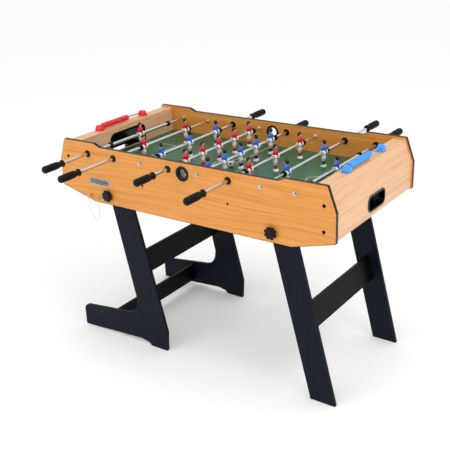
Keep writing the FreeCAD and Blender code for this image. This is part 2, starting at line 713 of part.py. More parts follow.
def make_stand_leg_boards():
    """The two boards of the stand leg: an upright and a long foot cut as one L."""
    board = plate_xz(STAND_LEG_OUTLINE, -STAND_LEG_OUT, -STAND_LEG_OUT + LEG_THICKNESS)
    pivot = pin_y(LEG_HOLE, -PIVOT_X, PIVOT_Z, -PANEL_OUT, 0)
    pin_hole = pin_y(PIN_LEG_BORE, PIN_LEG_X, PIN_LEG_Z, -PANEL_OUT, 0)
    return both_sides(board.cut(pivot).cut(pin_hole))


def stretcher(x, z, height, lean, half_length):
    """A board across the table, centred at (x, z) and leaning with its leg."""
    half = LEG_THICKNESS / 2
    board = box((-half, half), (-half_length, half_length), (-height / 2, height / 2))
    board.rotate(Vector(0, 0, 0), Vector(0, 1, 0), lean)
    board.translate(Vector(x, 0, z))
    return board


def make_stand_leg_stretchers():
    """Two boards that join the stand leg's sides, one on the upright and one in the foot."""
    inside = STAND_LEG_OUT - LEG_THICKNESS
    return [stretcher(*place, inside) for place in STAND_LEG_STRETCHERS]


def make_straight_leg_boards():
    """The two slanted boards of the straight leg, rounded at the top."""
    board = plate_xz(STRAIGHT_LEG_OUTLINE, -STRAIGHT_LEG_OUT, -STRAIGHT_LEG_OUT + LEG_THICKNESS)
    pivot = pin_y(LEG_HOLE, PIVOT_X, PIVOT_Z, -PANEL_OUT, 0)
    return both_sides(board.cut(pivot))


def make_straight_leg_stretcher():
    """The board that joins the straight leg's sides."""
    return [stretcher(*STRAIGHT_LEG_STRETCHER, STRAIGHT_LEG_OUT - LEG_THICKNESS)]


def make_pivot_spacers():
    """Round blocks on the inside of the panels that hold each leg board clear of the panel."""
    solids = []
    for x, leg_out in ((-PIVOT_X, STAND_LEG_OUT), (PIVOT_X, STRAIGHT_LEG_OUT)):
        profile = [(LEG_HOLE, -PANEL_IN), (SPACER_RADIUS, -PANEL_IN),
                   (SPACER_RADIUS, -leg_out - RUNNING_GAP), (LEG_HOLE, -leg_out - RUNNING_GAP)]
        solids.extend(both_sides(turned_y(profile, x, PIVOT_Z)))
    return solids


def make_knob(x, leg_out):
    """A star knob on the front side with its threaded stud moulded in."""
    face = -PANEL_OUT - RUNNING_GAP
    shoulder = face - KNOB_NECK_HEIGHT
    tip = shoulder - KNOB_HEIGHT
    profile = [
        (0, tip), (KNOB_RADIUS * 0.55, tip + 0.6), (KNOB_RADIUS * 0.85, tip + 2.6), (KNOB_RADIUS, tip + 6),
        (KNOB_RADIUS, shoulder - 2), (KNOB_RADIUS - 2, shoulder), (KNOB_NECK_RADIUS, shoulder),
        (KNOB_NECK_RADIUS, face), (STUD_RADIUS, face), (STUD_RADIUS, -leg_out + LEG_THICKNESS),
        (0, -leg_out + LEG_THICKNESS),
    ]
    knob = turned_y(profile, x, PIVOT_Z)
    notches = []
    for lobe in range(KNOB_LOBES):
        angle = math.radians(lobe * 360 / KNOB_LOBES)
        notches.append(pin_y(KNOB_NOTCH_RADIUS, x + KNOB_NOTCH_REACH * math.cos(angle),
                             PIVOT_Z + KNOB_NOTCH_REACH * math.sin(angle), tip - 1, shoulder + 0.5))
    return knob.cut(Part.makeCompound(notches))


# ---------------------------------------------------------------- lock pin, lanyard and ball

def make_lock_pin():
    """A steel pin with a stop collar, a short neck and a pull ring hanging below it."""
    collar = -PANEL_OUT - PIN_STROKE - RUNNING_GAP
    neck = collar - PIN_COLLAR_LENGTH
    end = neck - PIN_NECK
    profile = [(0, end), (PIN_RADIUS, end), (PIN_RADIUS, neck), (PIN_COLLAR_RADIUS, neck),
               (PIN_COLLAR_RADIUS, collar), (PIN_RADIUS, collar), (PIN_RADIUS, -PIN_TIP - 2),
               (PIN_RADIUS - 1, -PIN_TIP), (0, -PIN_TIP)]
    body = turned_y(profile, PIN_X, PIN_Z)
    ring_centre = Vector(PIN_X, neck - PIN_NECK / 2, PIN_Z - PIN_RING_DROP)
    ring = Part.makeTorus(PIN_RING_RADIUS, PIN_RING_WIRE, ring_centre, Vector(0, 1, 0))
    return [body.fuse(ring)]


def corner_radii(points):
    """Each arc as large as its two runs allow."""
    radii = [0.0]
    for before, corner, after in zip(points, points[1:], points[2:]):
        shorter = min((corner - before).Length, (after - corner).Length)
        turn = (corner - before).getAngle(after - corner)
        radii.append(0.45 * shorter / math.tan(turn / 2))
    return radii + [0.0]


def make_lanyard():
    """The cord as straight runs joined by tangent arcs, swept with a round section."""
    radii = corner_radii(LANYARD_ROUTE)
    path = rounded_wire(list(LANYARD_ROUTE), radii, closed=False)
    start = LANYARD_ROUTE[0]
    ring = Part.makeCircle(CORD_RADIUS, start, LANYARD_ROUTE[1] - start)
    tube = path.makePipeShell([Part.Wire(ring)], True, True)
    solid = Part.Solid(tube) if tube.ShapeType == "Shell" else tube
    expected = math.pi * CORD_RADIUS ** 2 * path.Length
    print("lanyard: length %.1f, volume %.1f, section x length %.1f" % (path.Length, solid.Volume, expected))
    print("lanyard radii:", [round(radius, 1) for radius in radii[1:-1]])
    return [solid]


def make_ball():
    """The ball, on the playfield between the middle rods."""
    return [Part.makeSphere(BALL_RADIUS, BALL_PLACE)]


def build():
    """Make every node and write its file."""
    os.makedirs("parts", exist_ok=True)
    knob_stand = make_knob(-PIVOT_X, STAND_LEG_OUT)
    knob_straight = make_knob(PIVOT_X, STRAIGHT_LEG_OUT)
    nodes = {
        "side_panels": make_side_panels(),
        "edge_trims": make_edge_trims(),
        "end_boards": make_end_boards(),
        "playfield": make_playfield(),
        "support_battens": make_support_battens(),
        "goal_frames": make_goal_frames(),
        "ball_return_trays": make_ball_return_trays(),
        "ball_entry_cups": make_ball_entry_cups(),
        "name_plate": make_name_plate(),
        "cabinet_screws": make_cabinet_screws(),
        "rod_bearings": make_rod_bearings(),
        "inner_rods": make_inner_rods(),
        "inner_rod_nuts": make_inner_rod_nuts(),
        "score_rails": make_score_rails(),
        "score_beads_red": make_beads(-1),
        "score_beads_blue": make_beads(1),
        "pivot_spacers": make_pivot_spacers(),
        "stand_leg_boards": make_stand_leg_boards(),
        "stand_leg_stretchers": make_stand_leg_stretchers(),
        "straight_leg_boards": make_straight_leg_boards(),
        "straight_leg_stretcher": make_straight_leg_stretcher(),
        "knob_stand_front": [knob_stand],
        "knob_stand_back": [mirrored(knob_stand, Vector(0, 1, 0))],
        "knob_straight_front": [knob_straight],
        "knob_straight_back": [mirrored(knob_straight, Vector(0, 1, 0))],
        "lock_pin": make_lock_pin(),
        "lanyard": make_lanyard(),
        "ball": make_ball(),
    }
    nodes.update(make_rod_nodes())
    whole = Part.makeCompound([save(name, solids) for name, solids in nodes.items()])
    extent = whole.BoundBox
    print("%d nodes, %.1f x %.1f x %.1f" % (len(nodes), extent.XLength, extent.YLength, extent.ZLength))
    print("from (%.1f, %.1f, %.1f)" % (extent.XMin, extent.YMin, extent.ZMin))


build()
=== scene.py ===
"""Folding foosball table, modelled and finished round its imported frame.

X runs along the table from the red goal to the blue goal, Y along the rods from the red players'
side to the blue players' side, and Z is up from the floor. Places and sizes written out here are
in millimetres, and MM turns them into Blender's metres.
"""

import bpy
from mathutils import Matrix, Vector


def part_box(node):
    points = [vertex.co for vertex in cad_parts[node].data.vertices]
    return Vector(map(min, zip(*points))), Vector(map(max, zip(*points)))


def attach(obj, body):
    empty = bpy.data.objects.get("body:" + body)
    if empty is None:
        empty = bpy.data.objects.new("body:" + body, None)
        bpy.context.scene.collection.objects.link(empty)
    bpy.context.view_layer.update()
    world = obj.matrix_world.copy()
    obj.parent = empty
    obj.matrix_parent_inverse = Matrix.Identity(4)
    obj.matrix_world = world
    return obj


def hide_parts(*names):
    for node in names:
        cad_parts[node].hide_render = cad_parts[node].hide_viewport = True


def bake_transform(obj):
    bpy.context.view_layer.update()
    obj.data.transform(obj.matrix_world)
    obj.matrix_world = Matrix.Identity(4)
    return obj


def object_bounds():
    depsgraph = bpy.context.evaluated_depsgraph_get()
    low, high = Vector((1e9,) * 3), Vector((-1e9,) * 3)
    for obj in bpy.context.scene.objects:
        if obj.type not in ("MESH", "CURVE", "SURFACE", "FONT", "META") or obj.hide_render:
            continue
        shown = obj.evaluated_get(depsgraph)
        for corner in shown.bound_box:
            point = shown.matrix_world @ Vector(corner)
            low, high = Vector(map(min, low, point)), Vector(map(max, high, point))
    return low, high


bl_info = {
    "name": "Folding Foosball Table",
    "version": (1, 0, 0),
    "blender": (4, 5, 0),
    "location": "3D View > Sidebar > Foosball",
    "description": "Models and finishes a folding foosball table piece by piece",
    "category": "Add Mesh",
}

import math

import bpy
from mathutils import Matrix, Vector

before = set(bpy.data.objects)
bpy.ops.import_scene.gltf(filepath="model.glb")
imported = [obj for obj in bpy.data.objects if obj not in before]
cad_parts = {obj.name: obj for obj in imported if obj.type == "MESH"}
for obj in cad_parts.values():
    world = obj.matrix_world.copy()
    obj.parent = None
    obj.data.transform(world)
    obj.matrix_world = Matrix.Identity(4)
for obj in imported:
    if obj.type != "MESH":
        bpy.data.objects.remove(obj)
CAD_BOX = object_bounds()

MM = 0.001

# The rods in order from the red goal: team and number of men
RODS = (("red", 1), ("red", 2), ("blue", 3), ("red", 5), ("blue", 5), ("red", 3), ("blue", 2), ("blue", 1))

# The camera looks at the front right corner from a little above the rods
CAMERA_AZIMUTH = 36.233
CAMERA_ELEVATION = 23.313
CAMERA_ROLL = -2.561
CAMERA_TARGET = (69.52, -180.02, 500.0)
CAMERA_DISTANCE = 2954.7
CAMERA_LENS = 63.77
CAMERA_SHIFT = (0.00615, 0.0327)

# The lock pin's lanyard: its route from the pin's ring down and back up to the screw eye
LANYARD_ROUTE = (
    (-457.0, -322.0, 613.4), (-460.2, -319.5, 599.0), (-458.4, -316.0, 571.0),
    (-450.0, -313.5, 545.0), (-440.5, -312.0, 528.0), (-429.0, -311.3, 525.0),
    (-421.8, -310.9, 541.0), (-419.4, -310.6, 569.0), (-418.2, -310.4, 596.0),
    (-418.5, -310.5, 610.3),
)
LANYARD_LENGTH = 186.3
LANYARD_DIAMETER = 2.0
LANYARD_LAY = 9.0

# Half the width of the pitch's printed lines
PITCH_LINE = 1.5
# Where an end board's outer wall starts to lean in, and by how much for each step up
END_CREASE_HEIGHT = 748.0
END_WALL_LEAN = 29.0 / 78.0

# Thickness of a leg board, radius of a spacer at a leg pivot, and height of the screw eye's ring
LEG_BOARD = 12.0
SPACER_RADIUS = 22.0
SCREW_EYE_HEIGHT = 616.0
# Half the width of a man's hub
HUB_HALF_WIDTH = 13.5

# Places of the countersunk screws through the leg boards into the boards across them
STAND_LEG_SCREWS = ((-272.0, 318.0), (-286.0, 378.0), (-427.0, 50.0), (-427.0, 88.0))
STRAIGHT_LEG_SCREWS = ((458.0, 332.0), (472.0, 279.0))


# ---------------------------------------------------------------- colour and node helpers

def linear(hex_colour):
    """An sRGB hex colour as the linear colour that shaders use."""
    values = [int(hex_colour[start:start + 2], 16) / 255 for start in (1, 3, 5)]
    return tuple(v / 12.92 if v <= 0.04045 else ((v + 0.055) / 1.055) ** 2.4 for v in values) + (1.0,)


def named(sockets, name):
    """The socket with this identifier or name."""
    found = [s for s in sockets if s.identifier == name] or [s for s in sockets if s.name == name]
    return found[0]


def add_node(tree, kind, settings=None, links=None):
    """Add a node, set its properties and sockets, and join its inputs to other nodes' outputs."""
    node = tree.nodes.new(kind)
    for key, value in (settings or {}).items():
        if key == "ramp":
            elements = node.color_ramp.elements
            while len(elements) < len(value):
                elements.new(0.5)
            for element, (position, colour) in zip(elements, value):
                element.position = position
                element.color = linear(colour)
        elif hasattr(node, key):
            setattr(node, key, value)
        else:
            named(node.inputs, key).default_value = value
    for key, (source, output) in (links or {}).items():
        tree.links.new(named(source.outputs, output), named(node.inputs, key))
    return node


def new_material(name, settings):
    """A material with one principled shader, and the coordinates of the piece it is on."""
    material = bpy.data.materials.new(name)
    material.use_nodes = True
    tree = material.node_tree
    tree.nodes.clear()
    shader = add_node(tree, "ShaderNodeBsdfPrincipled", settings)
    add_node(tree, "ShaderNodeOutputMaterial", {}, {"Surface": (shader, "BSDF")})
    place = add_node(tree, "ShaderNodeTexCoord")
    return material, tree, shader, place


def join_in(tree, shader, links):
    """Join outputs of nodes to the shader's own sockets."""
    for key, (source, output) in links.items():
        tree.links.new(named(source.outputs, output), named(shader.inputs, key))


def math_steps(tree, source, rows):
    """Math nodes from a table of (name, operation, first, second), on the x, y and z of a vector."""
    split = add_node(tree, "ShaderNodeSeparateXYZ", {}, {"Vector": source})
    steps = {axis.lower(): (split, axis) for axis in "XYZ"}
    for name, operation, first, second in rows:
        values, joined_to = {"operation": operation}, {"Value": steps[first]}
        if second in steps:
            joined_to["Value_001"] = steps[second]
        else:
            values["Value_001"] = second
        steps[name] = (add_node(tree, "ShaderNodeMath", values, joined_to), "Value")
    return steps


def stretched_noise(tree, source, scale, detail, **settings):
    """Noise on a vector that is stretched by a scale along X, Y and Z."""
    stretched = add_node(tree, "ShaderNodeMapping", {"Scale": scale}, {"Vector": source})
    return add_node(tree, "ShaderNodeTexNoise", {"Scale": 1.0, "Detail": detail, **settings},
                    {"Vector": (stretched, "Vector")})


def tinted(tree, noise, ramp):
    """The colour of a ramp at the noise's value."""
    return add_node(tree, "ShaderNodeValToRGB", {"ramp": ramp}, {"Fac": (noise, "Fac")}), "Color"


def graded(tree, noise, low, high):
    """A roughness that follows the noise from a low to a high value."""
    settings = {"From Min": 0.3, "From Max": 0.7, "To Min": low, "To Max": high}
    return add_node(tree, "ShaderNodeMapRange", settings, {"Value": (noise, "Fac")}), "Result"


def raised(tree, noise, strength, depth):
    """A relief that follows the noise."""
    settings = {"Strength": strength, "Distance": depth}
    return add_node(tree, "ShaderNodeBump", settings, {"Height": (noise, "Fac")}), "Normal"


def painted(tree, under, colour, where):
    """One colour laid over another where a step is 1."""
    return add_node(tree, "ShaderNodeMix", {"data_type": "RGBA", "B_Color": linear(colour)},
                    {"Factor_Float": where, "A_Color": under}), "Result_Color"


def mottled(name, settings, scale, detail, ramp, gloss=None, relief=None, skin=None, distortion=0.0):
    """A finish from noise on the piece's own coordinates: it tints, and may vary gloss and relief.

    The noise is stretched by a scale along X, Y and Z. A skin is a second, finer noise, as (scale,
    detail), and takes over the gloss, from one roughness to another, and the relief, as (strength, depth).
    """
    material, tree, shader, place = new_material(name, settings)
    noise = stretched_noise(tree, (place, "Object"), scale, detail, Distortion=distortion)
    join_in(tree, shader, {"Base Color": tinted(tree, noise, ramp)})
    if skin:
        noise = stretched_noise(tree, (place, "Object"), *skin, Distortion=distortion)
    if gloss:
        join_in(tree, shader, {"Roughness": graded(tree, noise, *gloss)})
    if relief:
        join_in(tree, shader, {"Normal": raised(tree, noise, *relief)})
    return material


# ---------------------------------------------------------------- finishes

def beech_foil(name, along, ramp, painted_shade_lining=False):
    """Particleboard wrapped in printed beech foil: satin lacquer over long wavy grain."""
    # Gives the eye warm honey bands 15 to 40 mm wide, fine pores in them and a soft wide gleam.
    material, tree, shader, place = new_material(name, {"Roughness": 0.42, "Specular IOR Level": 0.42})
    run = "XY".index(along)
    slow, lift, band_scale, pore_scale = [9.0] * 3, [0.0] * 3, [95.0] * 3, [700.0] * 3
    slow[run], lift[2], band_scale[run], pore_scale[run] = 1.6, 0.07, 1.6, 13.0
    sway = stretched_noise(tree, (place, "Object"), slow, 1.5)
    bent = add_node(tree, "ShaderNodeVectorMath", {"operation": "MULTIPLY", "Vector_001": lift},
                    {"Vector": (sway, "Color")})
    moved = add_node(tree, "ShaderNodeVectorMath", {"operation": "ADD"},
                     {"Vector": (place, "Object"), "Vector_001": (bent, "Vector")})
    bands = stretched_noise(tree, (moved, "Vector"), band_scale, 5.0, Roughness=0.7)
    pores = stretched_noise(tree, (moved, "Vector"), pore_scale, 2.0)
    flecks = tinted(tree, pores, ((0.34, "#C2B29E"), (0.48, "#FFFFFF")))
    wood = add_node(tree, "ShaderNodeMix",
                    {"data_type": "RGBA", "blend_type": "MULTIPLY", "Factor_Float": 0.32},
                    {"A_Color": tinted(tree, bands, ramp), "B_Color": flecks}), "Result_Color"
    # Painted shade: near black on the faces inside the end board's hollow
    if painted_shade_lining:
        wood = painted_shade_inside_the_shell(tree, place, wood)
    join_in(tree, shader, {"Base Color": wood, "Roughness": graded(tree, bands, 0.36, 0.5),
                           "Normal": raised(tree, pores, 0.12, 0.0002)})
    return material


def painted_shade_inside_the_shell(tree, place, wood):
    """Painted shade: near-black colour on the faces that look into the hollow of an end board, which stand in
    shade.
    """
    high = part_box("end_boards")[1]
    inner_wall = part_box("goal_frames")[1].x
    # The painted shade stops this far inside the end board's outer faces
    painted_shade_margin = 6 * MM
    steps = math_steps(tree, (place, "Object"), (
        ("reach", "ABSOLUTE", "x", 0.0),
        # The outer wall leans in above its crease
        ("above", "SUBTRACT", "z", END_CREASE_HEIGHT * MM),
        ("rise", "MAXIMUM", "above", 0.0),
        ("lean", "MULTIPLY", "rise", END_WALL_LEAN),
        ("upright", "ADD", "reach", "lean"),
        ("under_wall", "LESS_THAN", "upright", high.x - painted_shade_margin),
        ("past_wall", "GREATER_THAN", "reach", inner_wall - 0.2 * MM),
        ("under_shelf", "LESS_THAN", "z", high.z - painted_shade_margin),
        ("both", "MULTIPLY", "under_wall", "past_wall"),
        ("inside", "MULTIPLY", "both", "under_shelf"),
    ))
    # The painted shade's colour, near black
    return painted(tree, wood, "#0E0D0C", steps["inside"])


def sawn_pine():
    """Sawn pine: pale, dry and matt, with yellow growth rings and saw marks."""
    # Gives the eye soft straw-coloured streaks about 6 mm apart and no shine.
    return mottled("sawn_pine", {"Roughness": 0.78, "Specular IOR Level": 0.25}, (12.0, 90.0, 160.0), 5.0,
                   ((0.35, "#C99E66"), (0.55, "#DDBB86"), (0.75, "#E8CFA2")),
                   relief=(0.3, 0.0004), distortion=0.4)


def moulded_plastic(name, colour, shade, roughness, grain_mm, depth, coat=0.0, shine=0.5):
    """Injection-moulded or pressed plastic: one colour with faint flow tints and a fine skin."""
    # Gives the eye an even colour whose gleam breaks up a little over a spark-eroded texture.
    settings = {"Roughness": roughness, "IOR": 1.5, "Coat Weight": coat, "Coat Roughness": 0.08,
                "Specular IOR Level": shine}
    return mottled(name, settings, (24.0,) * 3, 3.0, ((0.3, shade), (0.7, colour)),
                   (roughness * 0.85, roughness * 1.2), (depth, 0.0001), ((1.0 / (grain_mm * MM),) * 3, 2.0))


def black_faced_board():
    """Board wrapped in blue-black foil, with black edge band on its narrow sides."""
    # Gives the eye a dark slate face with a faint wood pore print, and a blacker edge.
    settings = {"Roughness": 0.42, "Specular IOR Level": 0.09}
    material, tree, shader, place = new_material("blue_black_leg_foil", settings)
    pores = stretched_noise(tree, (place, "Object"), (260.0, 260.0, 14.0), 4.0)
    tint = tinted(tree, pores, ((0.35, "#0D131D"), (0.68, "#151C28")))
    steps = math_steps(tree, (place, "Normal"), (("sideways", "ABSOLUTE", "y", 0.0),
                                                 ("is_edge", "LESS_THAN", "sideways", 0.5)))
    join_in(tree, shader, {"Base Color": painted(tree, tint, "#050506", steps["is_edge"]),
                           "Normal": raised(tree, pores, 0.18, 0.0002)})
    return material


def line_at(name, measure, place):
    """Steps for a printed line where a measure has the value of a place."""
    return [(name + "_off", "SUBTRACT", measure, place), (name + "_gap", "ABSOLUTE", name + "_off", 0.0),
            (name, "LESS_THAN", name + "_gap", PITCH_LINE * MM)]


def pitch_line_steps():
    """Steps for all the pitch's lines, and the name of the last one, which is 1 on a line and else 0."""
    rows = [("from_middle", "ABSOLUTE", "x", 0.0), ("aside", "ABSOLUTE", "y", 0.0),
            ("x_squared", "MULTIPLY", "x", "x"), ("y_squared", "MULTIPLY", "y", "y"),
            ("squares", "ADD", "x_squared", "y_squared"), ("round_middle", "SQRT", "squares", 0.0),
            ("spot", "LESS_THAN", "round_middle", 4 * MM),
            ("halfway", "LESS_THAN", "from_middle", PITCH_LINE * MM)]
    rows += line_at("circle", "round_middle", 76 * MM)
    lines = ["circle", "spot", "halfway"]
    for area, front, side in (("penalty", 355, 101), ("goal", 452, 56)):
        rows += line_at(area + "_front", "from_middle", front * MM)
        rows += line_at(area + "_side", "aside", side * MM)
        rows += [(area + "_beyond", "GREATER_THAN", area + "_front_off", 0.0),
                 (area + "_within", "LESS_THAN", area + "_side_off", PITCH_LINE * MM),
                 (area + "_across", "MULTIPLY", area + "_front", area + "_within"),
                 (area + "_along", "MULTIPLY", area + "_side", area + "_beyond")]
        lines += [area + "_across", area + "_along"]
    rows += [("arc_out", "SUBTRACT", "from_middle", 366 * MM),
             ("arc_out_squared", "MULTIPLY", "arc_out", "arc_out"),
             ("arc_squares", "ADD", "arc_out_squared", "y_squared"),
             ("arc_round", "SQRT", "arc_squares", 0.0)]
    rows += line_at("arc_ring", "arc_round", 40 * MM)
    rows += [("before_front", "LESS_THAN", "penalty_front_off", 0.0),
             ("arc", "MULTIPLY", "arc_ring", "before_front")]
    lines.append("arc")
    for before, line in zip([lines[0]] + ["with_" + name for name in lines[1:]], lines[1:]):
        rows.append(("with_" + line, "MAXIMUM", before, line))
    return rows, rows[-1][0]


def printed_pitch():
    """Playing board under printed green foil, with the pitch's white lines printed on it."""
    # Gives the eye mottled grass green with a satin gleam, and thin crisp lines.
    material, tree, shader, place = new_material("printed_pitch", {"Roughness": 0.34})
    rows, lines = pitch_line_steps()
    steps = math_steps(tree, (place, "Object"), rows)
    grass = stretched_noise(tree, (place, "Object"), (420.0,) * 3, 3.0)
    patches = stretched_noise(tree, (place, "Object"), (9.0,) * 3, 2.0)
    green = add_node(tree, "ShaderNodeMix", {"data_type": "RGBA", "Factor_Float": 0.5},
                     {"A_Color": tinted(tree, grass, ((0.32, "#125033"), (0.66, "#2C7350"))),
                      "B_Color": tinted(tree, patches, ((0.3, "#175A3B"), (0.7, "#277054")))})
    join_in(tree, shader, {
        "Base Color": painted(tree, (green, "Result_Color"), "#D5E2DA", steps[lines]),
        "Normal": raised(tree, grass, 0.08, 0.0002),
    })
    return material


def polished_chrome():
    """Steel tube, bright nickel and chrome plated and polished."""
    # Gives the eye a hard mirror, white above and dark below, with hairline wear along the tube.
    return mottled("polished_chrome", {"Metallic": 1.0, "Roughness": 0.08}, (900.0, 12.0, 900.0), 3.0,
                   ((0.3, "#C6C9CE"), (0.7, "#E4E6EA")), (0.05, 0.14))


def zinc_steel(name, light, dark, roughness):
    """Drawn or turned steel with a thin zinc or black oxide finish."""
    # Gives the eye a greyer, softer gleam than chrome, mottled over a few millimetres.
    return mottled(name, {"Metallic": 1.0, "Roughness": roughness}, (260.0,) * 3, 4.0,
                   ((0.3, dark), (0.7, light)), (roughness * 0.8, roughness * 1.3), (0.1, 0.0001))


def braided_cord():
    """Thin braided nylon cord in light grey, its strands a millimetre wide."""
    # Gives the eye a pale thread with a dull silk sheen; its tint varies at random and is darker where the
    # relief is low, painted shade in the gaps between its strands.
    return mottled("braided_nylon", {"Roughness": 0.7, "Sheen Weight": 0.3, "Sheen Roughness": 0.4},
                   (900.0,) * 3, 2.0, ((0.35, "#A9ADB2"), (0.6, "#DDE0E3")), relief=(0.5, 0.0002))


def printed_plate():
    """Thin aluminium plate, brushed, with a plain dark printed field and no lettering."""
    # Gives the eye a silver rim and a slate field crossed by two pale stripes.
    material, tree, shader, place = new_material("printed_aluminium", {"Metallic": 0.7, "Roughness": 0.36})
    low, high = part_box("name_plate")
    rim = 2.6 * MM
    steps = math_steps(tree, (place, "Object"), (
        ("up", "SUBTRACT", "z", (low.z + high.z) / 2), ("height", "ABSOLUTE", "up", 0.0),
        ("along", "SUBTRACT", "x", (low.x + high.x) / 2), ("length", "ABSOLUTE", "along", 0.0),
        ("in_height", "LESS_THAN", "height", (high.z - low.z) / 2 - rim),
        ("in_length", "LESS_THAN", "length", (high.x - low.x) / 2 - rim),
        ("from_stripe", "SUBTRACT", "height", 4.2 * MM), ("stripe_gap", "ABSOLUTE", "from_stripe", 0.0),
        ("no_stripe", "GREATER_THAN", "stripe_gap", 0.9 * MM),
        ("field", "MULTIPLY", "in_height", "in_length"), ("dark", "MULTIPLY", "field", "no_stripe"),
    ))
    brushed = stretched_noise(tree, (place, "Object"), (20.0, 900.0, 900.0), 2.0)
    silver = tinted(tree, brushed, ((0.3, "#9FA6AA"), (0.7, "#D3D8DB")))
    join_in(tree, shader, {"Base Color": painted(tree, silver, "#3B4B52", steps["dark"])})
    return material


# The moulded plastics: name, colour, shade, roughness, grain in mm, relief, coat and shine
PLASTICS = {
    "edge_band": ("black_edge_band", "#0C0A09", "#070605", 0.35, 1.2, 0.1, 0.0, 0.25),
    "black_plastic": ("black_abs", "#040405", "#020203", 0.15, 0.9, 0.1, 0.0, 0.22),
    "grip": ("black_grip", "#040405", "#020203", 0.19, 0.8, 0.12, 0.0, 0.18),
    "bumper": ("black_rubber", "#0B0B0D", "#060607", 0.5, 0.8, 0.25, 0.0, 0.25),
    "score_red": ("score_red_abs", "#EC1F2C", "#DA1522", 0.24, 1.0, 0.06, 0.3),
    "score_blue": ("score_blue_abs", "#2AA2FC", "#1A8CF0", 0.24, 1.0, 0.06, 0.3),
    "shirt_red": ("men_shirt_red", "#D61626", "#BC0E1C", 0.3, 0.8, 0.08, 0.2),
    "shirt_blue": ("men_shirt_blue", "#1A70DC", "#105CC0", 0.3, 0.8, 0.08, 0.2),
    "sock_red": ("men_socks_red", "#C8121E", "#AC0C16", 0.34, 0.8, 0.08),
    "sock_blue": ("men_socks_navy", "#0F2C74", "#091D56", 0.34, 0.8, 0.08),
    "kit_white": ("men_kit_white", "#FDFCF9", "#F4F2EE", 0.3, 0.8, 0.08, 0.2),
    "skin": ("men_skin", "#E9B29A", "#DDA088", 0.36, 0.8, 0.08),
    "hair": ("men_hair_black", "#1C1614", "#100C0B", 0.32, 0.8, 0.1),
    "ball_white": ("ball_white", "#F5F5F3", "#E9E9E6", 0.2, 0.9, 0.05, 0.4),
    "ball_black": ("ball_black", "#141416", "#0A0A0C", 0.2, 0.9, 0.05, 0.4),
}
METALS = {
    "rod_steel": ("bright_drawn_steel", "#EDE9E2", "#CFCBC4", 0.2),
    "zinc": ("zinc_plated_steel", "#DADBDD", "#A9ABAF", 0.28),
    "black_screw": ("black_oxide_steel", "#1C1C1F", "#0C0C0E", 0.3),
}
PANEL_GRAIN = ((0.25, "#C67A2E"), (0.48, "#DE9341"), (0.75, "#EBA853"))
# Grain tones of the end boards, painted lighter than the panels' to stand for the light falling on them
END_GRAIN_PAINTED_LIGHTER = ((0.25, "#D29C6F"), (0.48, "#E3B389"), (0.75, "#EFC49C"))
FINISHES = {}


def finish(name):
    """The finish with this name, made the first time it is asked for."""
    others = {
        "panel_beech": lambda: beech_foil("beech_foil_panels", "X", PANEL_GRAIN),
        "end_beech": lambda: beech_foil("beech_foil_ends", "Y", END_GRAIN_PAINTED_LIGHTER, painted_shade_lining=True),
        "pine": sawn_pine, "pitch": printed_pitch, "leg_board": black_faced_board,
        "chrome": polished_chrome, "cord": braided_cord, "plate": printed_plate,
    }
    if name not in FINISHES:
        if name in PLASTICS:
            FINISHES[name] = moulded_plastic(*PLASTICS[name])
        elif name in METALS:
            FINISHES[name] = zinc_steel(*METALS[name])
        else:
            FINISHES[name] = others[name]()
    return FINISHES[name]


# ---------------------------------------------------------------- modelling helpers

TURN = {"X": (0.0, math.pi / 2, 0.0), "Y": (math.pi / 2, 0.0, 0.0), "Z": (0.0, 0.0, 0.0)}


def deselect():
    """Leave nothing selected, in object mode."""
    if bpy.context.object and bpy.context.object.mode != "OBJECT":
        bpy.ops.object.mode_set(mode="OBJECT")
    bpy.ops.object.select_all(action="DESELECT")


def pick(*pieces):
    """Leave only these pieces selected, the first of them active."""
    deselect()
    for piece in pieces:
        piece.select_set(True)
    bpy.context.view_layer.objects.active = pieces[0]


def select_vertices(mesh, wanted):
    """Select the vertices that are wanted, with the edges and faces between them."""
    for vertex in mesh.vertices:
        vertex.select = wanted(vertex.co)
    for item in list(mesh.polygons) + list(mesh.edges):
        item.select = all(mesh.vertices[v].select for v in item.vertices)


def settle(name, material=None, smooth=35.0):
    """Clean the mesh just drawn, put its place into it, and give it its name and finish."""
    bpy.ops.object.mode_set(mode="EDIT")
    bpy.ops.mesh.select_all(action="SELECT")
    bpy.ops.mesh.remove_doubles(threshold=1e-6)
    bpy.ops.mesh.normals_make_consistent(inside=False)
    bpy.ops.object.mode_set(mode="OBJECT")
    piece = bpy.context.object
    piece.name = name
    bpy.ops.object.transform_apply(location=True, rotation=True, scale=True)
    if material:
        piece.data.materials.append(finish(material))
    bpy.ops.object.shade_smooth_by_angle(angle=math.radians(smooth))
    return piece


def draw_rings(name, axis, rings, material=None, segments=24, hollow=False, smooth=35.0):
    """Draw a skin through rings: a circle, extruded, moved and resized from each ring to the next.

    A ring is (centre, reach), in millimetres, and the reach along the axis itself is 1.
    A hollow piece ends on the ring it began with, and any other is closed at both ends.
    """
    deselect()
    here = Vector(rings[0][0]) * MM
    size = Vector(rings[0][1]) * MM
    bpy.ops.mesh.primitive_circle_add(vertices=segments, radius=1.0, location=here, rotation=TURN[axis],
                                      fill_type="NOTHING" if hollow else "NGON", enter_editmode=True)
    bpy.ops.transform.resize(value=size, center_override=here)
    for centre, reach in rings[1:]:
        there = Vector(centre) * MM
        next_size = Vector(reach) * MM
        bpy.ops.mesh.extrude_region_move(TRANSFORM_OT_translate={"value": there - here})
        bpy.ops.transform.resize(value=[after / before for before, after in zip(size, next_size)],
                                 center_override=there)
        here, size = there, next_size
    bpy.ops.object.mode_set(mode="OBJECT")
    return settle(name, material, smooth)


def turn_on_lathe(name, profile, centre, material, segments=32, hollow=False, smooth=35.0, side=1):
    """A turned piece along Y through centre: the profile is (radius, distance along Y)."""
    x, y, z = centre
    rings = [((x, y + side * along, z), (radius, 1.0, radius)) for radius, along in profile]
    return draw_rings(name, "Y", rings, material, segments, hollow, smooth)


